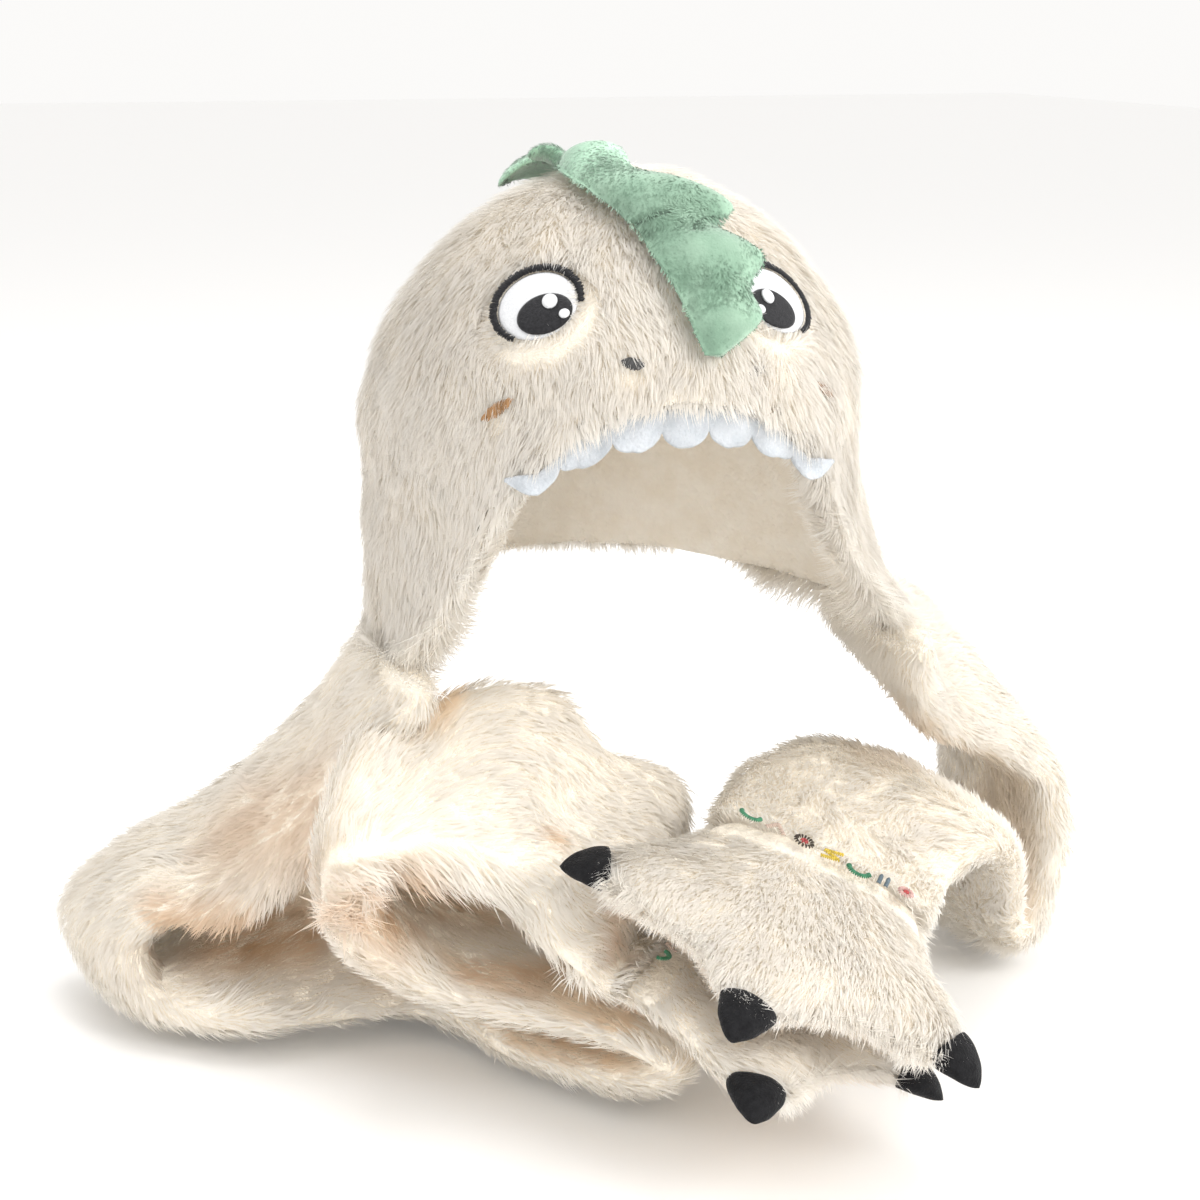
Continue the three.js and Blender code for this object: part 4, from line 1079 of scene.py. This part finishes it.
# Mm along a row and up the ridge, and the half width in mm under which a fold is painted darker as shade.
ROW_LENGTH, RIDGE_HEIGHT, SHARP = 16, 35, 5
loop = np.concatenate([1 - np.linspace(1, 0, 26) ** 1.4, 2 - (1 - np.linspace(0, 1, 26)[1:] ** 1.4)])
at, w = grid(np.linspace(0, RIDGE_LAST, RIDGE_LAST * 16 + 1), loop)
rings = ridge_point(at, w)
middle = rings.mean(1, keepdims=True)
share = np.where(w <= 1, w, 2 - w)
sunk, crease_shade = np.zeros(at.shape), np.zeros(at.shape)
for row0, share0, row1, share1, deep, wide in FOLDS:
    along = np.clip((share - share0) / (share1 - share0), 0, 1)
    off = np.hypot((at - row0 - (row1 - row0) * along) * ROW_LENGTH,
                   (share - share0 - (share1 - share0) * along) * RIDGE_HEIGHT)
    sunk = np.maximum(sunk, deep * np.exp(-((off / wide) ** 2)))
    # Painted shade along the narrow folds.
    crease_shade = np.maximum(crease_shade, 0.62 * np.exp(-((off / (0.5 * wide)) ** 2)) * (wide < SHARP))
rings = rings + unit(rings - middle) * (0.7 * noise(rings, 12.0)[..., :1] - sunk[..., None])
brushed = 1 + 0.16 * noise(rings, 13.0)[..., 1] + 0.09 * noise(rings, 4.5)[..., 0]
pale = 1 + 0.30 * smooth(0.8, 1.0, share) + 0.45 * smooth(5.2, 7.0, at)
tint = np.ones(rings.shape) * (brushed * pale * (1 - crease_shade))[..., None]
ridge = closed_tube("ridge_cloth", rings, colours=tint)
dress(ridge, GREEN_CLOTH, "spike_ridge")
print("Ridge triangles:", sum(len(f.vertices) - 2 for f in ridge.data.polygons))

# %% Ridge pile
def ridge_skin(a, w):
    """The same loop at any two values, held at the ridge's ends and at the root."""
    return ridge_point(np.clip(a, 0, RIDGE_LAST), np.clip(w, 0, 2))


a, v = scatter(ridge_skin, (0.05, RIDGE_LAST - 0.05), (0.02, 1.98), (160, 40), 26000)
p, n, du, _ = frame_at(ridge_skin, a, v, 0.03, 0.012)
centre = ridge_skin(a, np.full_like(a, 0.5)) / 2 + ridge_skin(a, np.full_like(a, 1.5)) / 2
n = outwards(n, p - centre)
shade = np.stack([(1 + 0.2 * noise(p, 13.0)[:, 1]) * (1 + 0.45 * smooth(5.2, 7.0, a))] * 3, -1)
# The pile's roots are painted darker than its tips, as shade within the pile.
pile = fur("ridge_pile", p - n * 0.3, n, unit(du) * 0.5 + [0, -0.3, -0.8], 2.4, 0.55,
           (0.85 * shade, 1.15 * shade), tuft=5.0, pull=0.2, rise=0.8, root=0.8)
dress(pile, GREEN_CLOTH, parent=ridge)
print("Ridge pile blades:", len(a))

# %% [markdown]
# ## The tooth trim
# A scalloped strip of curly fleece hangs below the brow. It is one thin closed
# sheet, thickest halfway down.

# %% Trim
# Columns: around, top height, inset.
TRIM = np.array([
    [0, -80.2, 4],
    [12, -82.4, 4],
    [24, -93, 4],
    [29, -102.6, 2],
    [32, -108.4, -1],
    [34, -108.8, -4],
    [36, -109.6, -4],
    [38.5, -111, -4],
], float)
TRIM_SCALLOPS, HALF_TRIM, TRIM_DEPTH, TRIM_SCALLOP_DEPTH = 7, 1.5, 18.0, 8.0


def trim_point(part, share, thick):
    """Along the brow's edge, down from its top by share of the scalloped depth."""
    around = TRIM[-1, 0] * (2 * part - 1)
    end = np.maximum(0.2, np.maximum(np.sin(np.pi * part), 0) ** 0.4)
    scallop = np.abs(np.sin(np.pi * TRIM_SCALLOPS * part)) ** 0.6
    deep = (TRIM_DEPTH - TRIM_SCALLOP_DEPTH * (1 - scallop)) * end
    inset = np.interp(np.abs(around), TRIM[:, 0], TRIM[:, 2]) + thick
    p = wall_point(around, np.ones_like(around))
    p = p - unit(p * [1, 1, 0]) * inset[..., None]
    p[..., 2] = np.interp(np.abs(around), TRIM[:, 0], TRIM[:, 1]) - deep * share
    return p


loop = np.concatenate([np.linspace(0, 1, 16), 2 - np.linspace(1, 0, 16)[1:-1]])
part_at, w = grid(np.linspace(0, 1, TRIM_SCALLOPS * 24 + 1), loop)
share = np.where(w <= 1, w, 2 - w)
plump = np.sqrt(np.clip(1 - (2 * share - 1) ** 4, 0.02, 1)) * HALF_TRIM
rings = trim_point(part_at, share, HALF_TRIM + np.where(w <= 1, -plump, plump))
rings = rings + 0.35 * noise(rings, 4.0)
tint = np.ones(rings.shape) * (0.9 + 0.16 * noise(rings, 9.0)[..., :1])
trim = closed_tube("trim_fleece", rings, colours=np.clip(tint, 0, 1.2))
dress(trim, FLEECE_CLOTH, "tooth_trim")
print("Trim scallops:", TRIM_SCALLOPS)

# %% [markdown]
# ## Eyes, nostrils and cheek marks
# The eyes are cloth patches edged with black thread. Each layer is a slightly
# domed disc on the hood, and the edge is satin stitch: threads side by side
# across the rim. Nostrils and cheek marks are ovals of slanting threads, which
# lie down in the fur on the left side.

# %% Patches
PATCH_THICKNESS = 0.9


def patch(name, spot, shape, base, dome, material, node):
    """Oval disc of half sizes and offset in shape, domed by 1 - share^2, closed underneath."""
    wide, high, x0, y0 = shape
    shares = np.concatenate([np.linspace(0.05, 1, 14), np.linspace(1, 0.05, 6)[1:]])
    s, turn = grid(shares, circle(64))
    upper = (np.arange(len(shares)) < 14)[:, None]
    x, y = x0 + wide * s * np.cos(turn), y0 + high * s * np.sin(turn)
    lift = base + (PATCH_THICKNESS + dome * (1 - s**2)) * upper * np.sqrt(np.clip(1 - s**12, 0.05, 1))
    rings, _ = face_place(spot, EYE_TILT, x, y, lift)
    return dress(closed_tube(name, rings), material, node)


print("Patch thickness", PATCH_THICKNESS, "mm")

# %% Stitches of the face
RIM_THREADS, RIM_LIFT, RIM_COLOUR = 220, 1.5, [0.015, 0.015, 0.018]
NOSTRIL = dict(tilt=-20, count=16, reach=4.3, oval=(4.7, 2.6), ragged=0.2, slant=0.6, radius=0.4,
               lifts=(1.3, -2.2), colour=[0.10, 0.10, 0.10], shades=(0.6, 0.8), slot="grey_thread")
CHEEK = dict(tilt=32, count=20, reach=7.6, oval=(8.2, 2.8), ragged=0.3, slant=1.2, radius=0.45,
             lifts=(1.9, -1.6), colour=[0.50, 0.28, 0.13], shades=(0.7, 0.6), slot="brown_thread")


def satin_rim(name, spot, node):
    """Threads across the rim from share 0.92 to 1.05..1.14, from -18 to 225 degrees."""
    part = np.linspace(0, 1, RIM_THREADS)
    turn = np.pi * (-0.1 + 1.35 * part)
    outer = 1.05 + 0.09 * np.sin(np.pi * part) + 0.012 * rng.normal(size=RIM_THREADS)
    skew = 0.02 * rng.normal(size=RIM_THREADS)
    inner = 0.92 + 0.01 * rng.normal(size=RIM_THREADS)

    def on_rim(angle, share):
        x, y = EYE_HALF_WIDTH * np.cos(angle) * share, EYE_HALF_HEIGHT * np.sin(angle) * share
        return face_place(spot, EYE_TILT, x, y, np.full(RIM_THREADS, RIM_LIFT))

    start, normal = on_rim(turn, inner)
    end, _ = on_rim(turn + skew, outer)
    tint = uneven(RIM_COLOUR, RIM_THREADS, 0.7, 0.9)
    dress(threads(name, start, end, normal, 0.42, 0.5, tint), THREAD, node)


def sewn_mark(name, spot, node, tilt, count, reach, oval, ragged, slant, radius, lifts, colour,
              shades, slot):
    """Slanting threads side by side, b * sqrt(1 - (x / a)^2) long on both sides of the middle."""
    x = np.linspace(-reach, reach, count)
    half = oval[1] * np.sqrt(np.clip(1 - (x / oval[0]) ** 2, 0, 1)) + ragged * rng.normal(size=count)
    lift = np.full(count, lifts[0] if spot[0] < 0 else lifts[1])
    start, normal = face_place(spot, tilt, x - slant, -half, lift)
    end, _ = face_place(spot, tilt, x + slant, half, lift)
    tint = uneven(colour, count, *shades)
    dress(threads(name, start, end, normal, radius, 0.5, tint), THREAD, node)


for side, eye, nose, cheek in (("right_", RIGHT_EYE, RIGHT_NOSTRIL, RIGHT_CHEEK),
                               ("left_", LEFT_EYE, LEFT_NOSTRIL, LEFT_CHEEK)):
    patch(side + "eye_patch", eye, (18.4, 16.6, 0, 0), 0.3, 0.5, WHITE_FELT,
          side + "eye_white")
    satin_rim(side + "eye_rim", eye, side + "eye_outline")
    patch(side + "pupil_patch", eye, (12.5, 9.5, 2.4, -6.2), 1.7, 0.3, BLACK_CLOTH,
          side + "pupil")
    patch(side + "shine", eye, (3.4, 3.6, 6.1, -1.8), 2.9, 0.4, WHITE_FELT,
          side + "highlight")
    patch(side + "glint", eye, (2.4, 2.2, 10.8, -9.6), 2.9, 0.3, WHITE_FELT,
          side + "small_highlight")
    sewn_mark(side + "nostril_stitch", nose, side + "nostril", **NOSTRIL)
    sewn_mark(side + "cheek_stitch", cheek, side + "cheek_mark", **CHEEK)
print("Face pieces are sewn on")

# %% [markdown]
# ## Claws
# Each claw is a small stuffed hook of black plush outside a toe.

# %% Claws
CLAW_HALF_WIDTH, CLAW_HALF_DEPTH, CLAW_LENGTH, CLAW_GAP, CLAW_DROP = 14.0, 8.0, 21.0, 1.2, 5.0
PAWS = (("right", LOWER_PAW), ("left", UPPER_PAW))


def claw(name, place, toe):
    """Rings whose width and depth shrink as (1 - share^1.6)^0.7, bent down at the tip."""
    s, turn = grid(1 - np.linspace(1, 0.12, 18) ** 1.5, circle(40))
    root = float(paw_reach(np.array(float(toe)))) + CLAW_GAP
    slim = (1 - s**1.6) ** 0.7
    across = CLAW_HALF_WIDTH * slim * np.cos(turn)
    sag = across**2 / (2 * root) * 0.9
    reach = root + CLAW_LENGTH * s - sag * (1 - s)
    h = CLAW_HALF_DEPTH * slim * np.sin(turn) - CLAW_DROP * s**2
    ahead, aside = np.cos(np.radians(toe)), np.sin(np.radians(toe))
    rings = on_paw(place, reach * ahead - across * aside, reach * aside + across * ahead, h)
    rings = rings + 0.5 * noise(rings, 5.0)
    tip = root + CLAW_LENGTH
    end = on_paw(place, np.array([tip * ahead]), np.array([tip * aside]), np.array([-CLAW_DROP]))[0]
    piece = closed_tube(name + "_plush", rings, end=end)
    dress(piece, BLACK_PLUSH, name)


for side, place in PAWS:
    for number, toe in enumerate(TOES):
        claw(f"{side}_claw_{number + 1}", place, toe)
print("Claws are on")

# %% [markdown]
# ## Coloured stitches
# A row of small plain motifs is sewn across each wrist: an arc, a vee, a dot, a
# wave, a bow, two bars and a small dot. Each is a path in the paw's own flat
# coordinates with threads laid across it.

# %% Motif paths
def line(*points, count=14):
    """Even points along straight pieces through the given (v, u) places."""
    q = np.array(points, float)
    length = np.concatenate([[0], np.linalg.norm(np.diff(q, axis=0), axis=1).cumsum()])
    t = np.linspace(0, length[-1], count)
    return np.stack([np.interp(t, length, q[:, 0]), np.interp(t, length, q[:, 1])], -1)


def arch(width, height, start=0.0, stop=180.0, count=16):
    """Part of an ellipse: (width * cos, height * sin) from start to stop degrees."""
    a = np.radians(np.linspace(start, stop, count))
    return np.stack([width * np.cos(a), height * np.sin(a)], -1)


GREEN, DEEP_GREEN, PALE = (0.10, 0.36, 0.20), (0.07, 0.30, 0.16), (0.80, 0.62, 0.52)
DARK, YELLOW, GREY = (0.10, 0.08, 0.06), (0.88, 0.66, 0.10), (0.18, 0.25, 0.30)
PINK, RED, DARK_RED = (0.85, 0.55, 0.50), (0.70, 0.12, 0.12), (0.62, 0.12, 0.12)
# Name, place across the wrist in mm, slot, and strokes: path, colour, half length of a thread.
MOTIFS = [
    ("green_arc", -42, "green_thread", [(arch(5.0, 3.4), GREEN, 1.3)]),
    ("cream_vee", -28, "cream_thread", [(line((-4.6, 3.4), (0, -3.2), (4.6, 3.4)), PALE, 1.2)]),
    ("dark_dot", -13, "dark_thread", [(arch(4.4, 3.8, 0, 330), DARK, 1.1),
                                      (arch(1.3, 1.2, 0, 330, 7), DARK_RED, 0.9)]),
    ("yellow_wave", 2, "yellow_thread",
     [(line((-4.6, 4.4), (4.2, 1.6), (-4.2, -1.4), (4.6, -4.4), count=26), YELLOW, 1.1)]),
    ("green_bow", 17, "green_thread", [(arch(5.4, 5.0, 10, 170), DEEP_GREEN, 1.5)]),
    ("grey_bar", 30, "grey_thread", [(line((x, -3.4), (x, 3.4), count=9), GREY, 1.1) for x in (-1.9, 1.9)]),
    ("pink_dot", 42, "pink_thread", [(arch(3.2, 2.8, 0, 330), PINK, 1.2),
                                     (arch(0.9, 0.8, 0, 330, 6), RED, 0.8)]),
]
print("Motifs:", [m[0] for m in MOTIFS])

# %% Stitch motifs
MOTIF_LIFT, MOTIF_RADIUS, MOTIF_ARCH = 2.6, 0.6, 0.7


def motif(name, place, v0, strokes):
    """Threads across each stroke, standing on the fur of the paw's back."""
    laid = []
    for path, colour, half in strokes:
        along = unit(np.gradient(path, axis=0))
        across = np.stack([-along[:, 1], along[:, 0]], -1)
        low, high = path - across * half, path + across * half
        lift = np.full(len(path), PAW_THICKNESS / 2 + MOTIF_LIFT)
        start, end, above = (on_paw(place, MOTIF_ROW + q[:, 1], v0 + q[:, 0], h)
                             for q, h in ((low, lift), (high, lift), (low, lift + 5)))
        laid.append((start, end, unit(above - start), uneven(colour, len(path), 0.8, 0.4)))
    starts, ends, normals, tints = (np.concatenate(part) for part in zip(*laid))
    return threads(name, starts, ends, normals, MOTIF_RADIUS, MOTIF_ARCH, tints)


for side, place in PAWS:
    for label, v0, slot_name, strokes in MOTIFS:
        piece = motif(f"{side}_{label}_stitch", place, v0, strokes)
        dress(piece, THREAD, f"{side}_{label}")
print("Stitches:", 2 * len(MOTIFS))

# %% [markdown]
# ## Floor, light and camera
# A pale floor runs far behind the piece. One large soft light from the front
# right gives the fur its form, one above lights the crown, a small weak one on
# the other side reaches under the folded arms, and a pale sky lights the rest.
# The camera looks from the height and side of a product picture, a little
# towards the left.

# %% Floor and sky
FLOOR_Z, FLOOR_SIDE, FLOOR_BACK = -0.416, 6, 12
floor_mesh = bpy.data.meshes.new("floor")
floor_mesh.from_pydata([(-FLOOR_SIDE, -FLOOR_SIDE, FLOOR_Z), (FLOOR_SIDE, -FLOOR_SIDE, FLOOR_Z),
                        (FLOOR_SIDE, FLOOR_BACK, FLOOR_Z), (-FLOOR_SIDE, FLOOR_BACK, FLOOR_Z)],
                       [], [(0, 1, 2, 3)])
floor = bpy.data.objects.new("floor", floor_mesh)
bpy.context.scene.collection.objects.link(floor)
paint = bpy.data.materials.new("pale_floor")
paint.use_nodes = True
put(paint.node_tree.nodes["Principled BSDF"], {"Base Color": (0.965, 0.962, 0.958, 1), "Roughness": 0.8})
floor.data.materials.append(paint)
world = bpy.data.worlds.new("studio")
bpy.context.scene.world = world
world.use_nodes = True
put(world.node_tree.nodes["Background"], {"Color": (1.0, 0.99, 0.975, 1), "Strength": 0.97})
bpy.context.scene.view_settings.view_transform = "Standard"
print("Floor at", FLOOR_Z, "m")

# %% Lights
# Name, place, target, size in m, power in W, colour, width of the beam in degrees.
LIGHTS = (("key", (1.1, -1.4, 0.9), (0, 0, -0.25), 1.2, 26, (1.0, 0.985, 0.96), 180),
          ("low", (-0.6, -1.0, -0.3), (-0.1, -0.05, -0.37), 0.4, 0.2, (1.0, 0.99, 0.97), 36),
          ("top", (0.1, 0.3, 1.6), (0, 0, -0.1), 1.4, 18, (1.0, 1.0, 1.0), 180))


def aimed(name, data, at, target):
    """Puts a light or camera at a place, its -Z axis along target - place and +Y up."""
    obj = bpy.data.objects.new(name, data)
    obj.location = at
    obj.rotation_euler = (Vector(target) - obj.location).to_track_quat("-Z", "Y").to_euler()
    bpy.context.scene.collection.objects.link(obj)
    return obj


for name, at, target, size, power, colour, spread in LIGHTS:
    light = bpy.data.lights.new(name, "AREA")
    light.size = size
    light.energy = power
    light.color = colour
    light.spread = np.radians(spread)
    aimed(name, light, at, target)

# %% Camera
CAMERA_PLACE, CAMERA_TARGET, LENS, SENSOR = (-0.2889, -1.0239, 0.0867), (-0.005, 0, -0.198), 66, 36
camera_data = bpy.data.cameras.new("camera")
camera_data.lens = LENS
camera_data.sensor_width = SENSOR
camera = aimed("camera", camera_data, CAMERA_PLACE, CAMERA_TARGET)
bpy.context.scene.camera = camera
print("Camera at", tuple(round(v, 3) for v in camera.location))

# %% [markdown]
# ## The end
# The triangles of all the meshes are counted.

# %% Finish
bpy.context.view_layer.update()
total = sum(sum(len(f.vertices) - 2 for f in o.data.polygons) for o in bpy.data.objects if o.type == "MESH")
print("Triangles in all:", total)
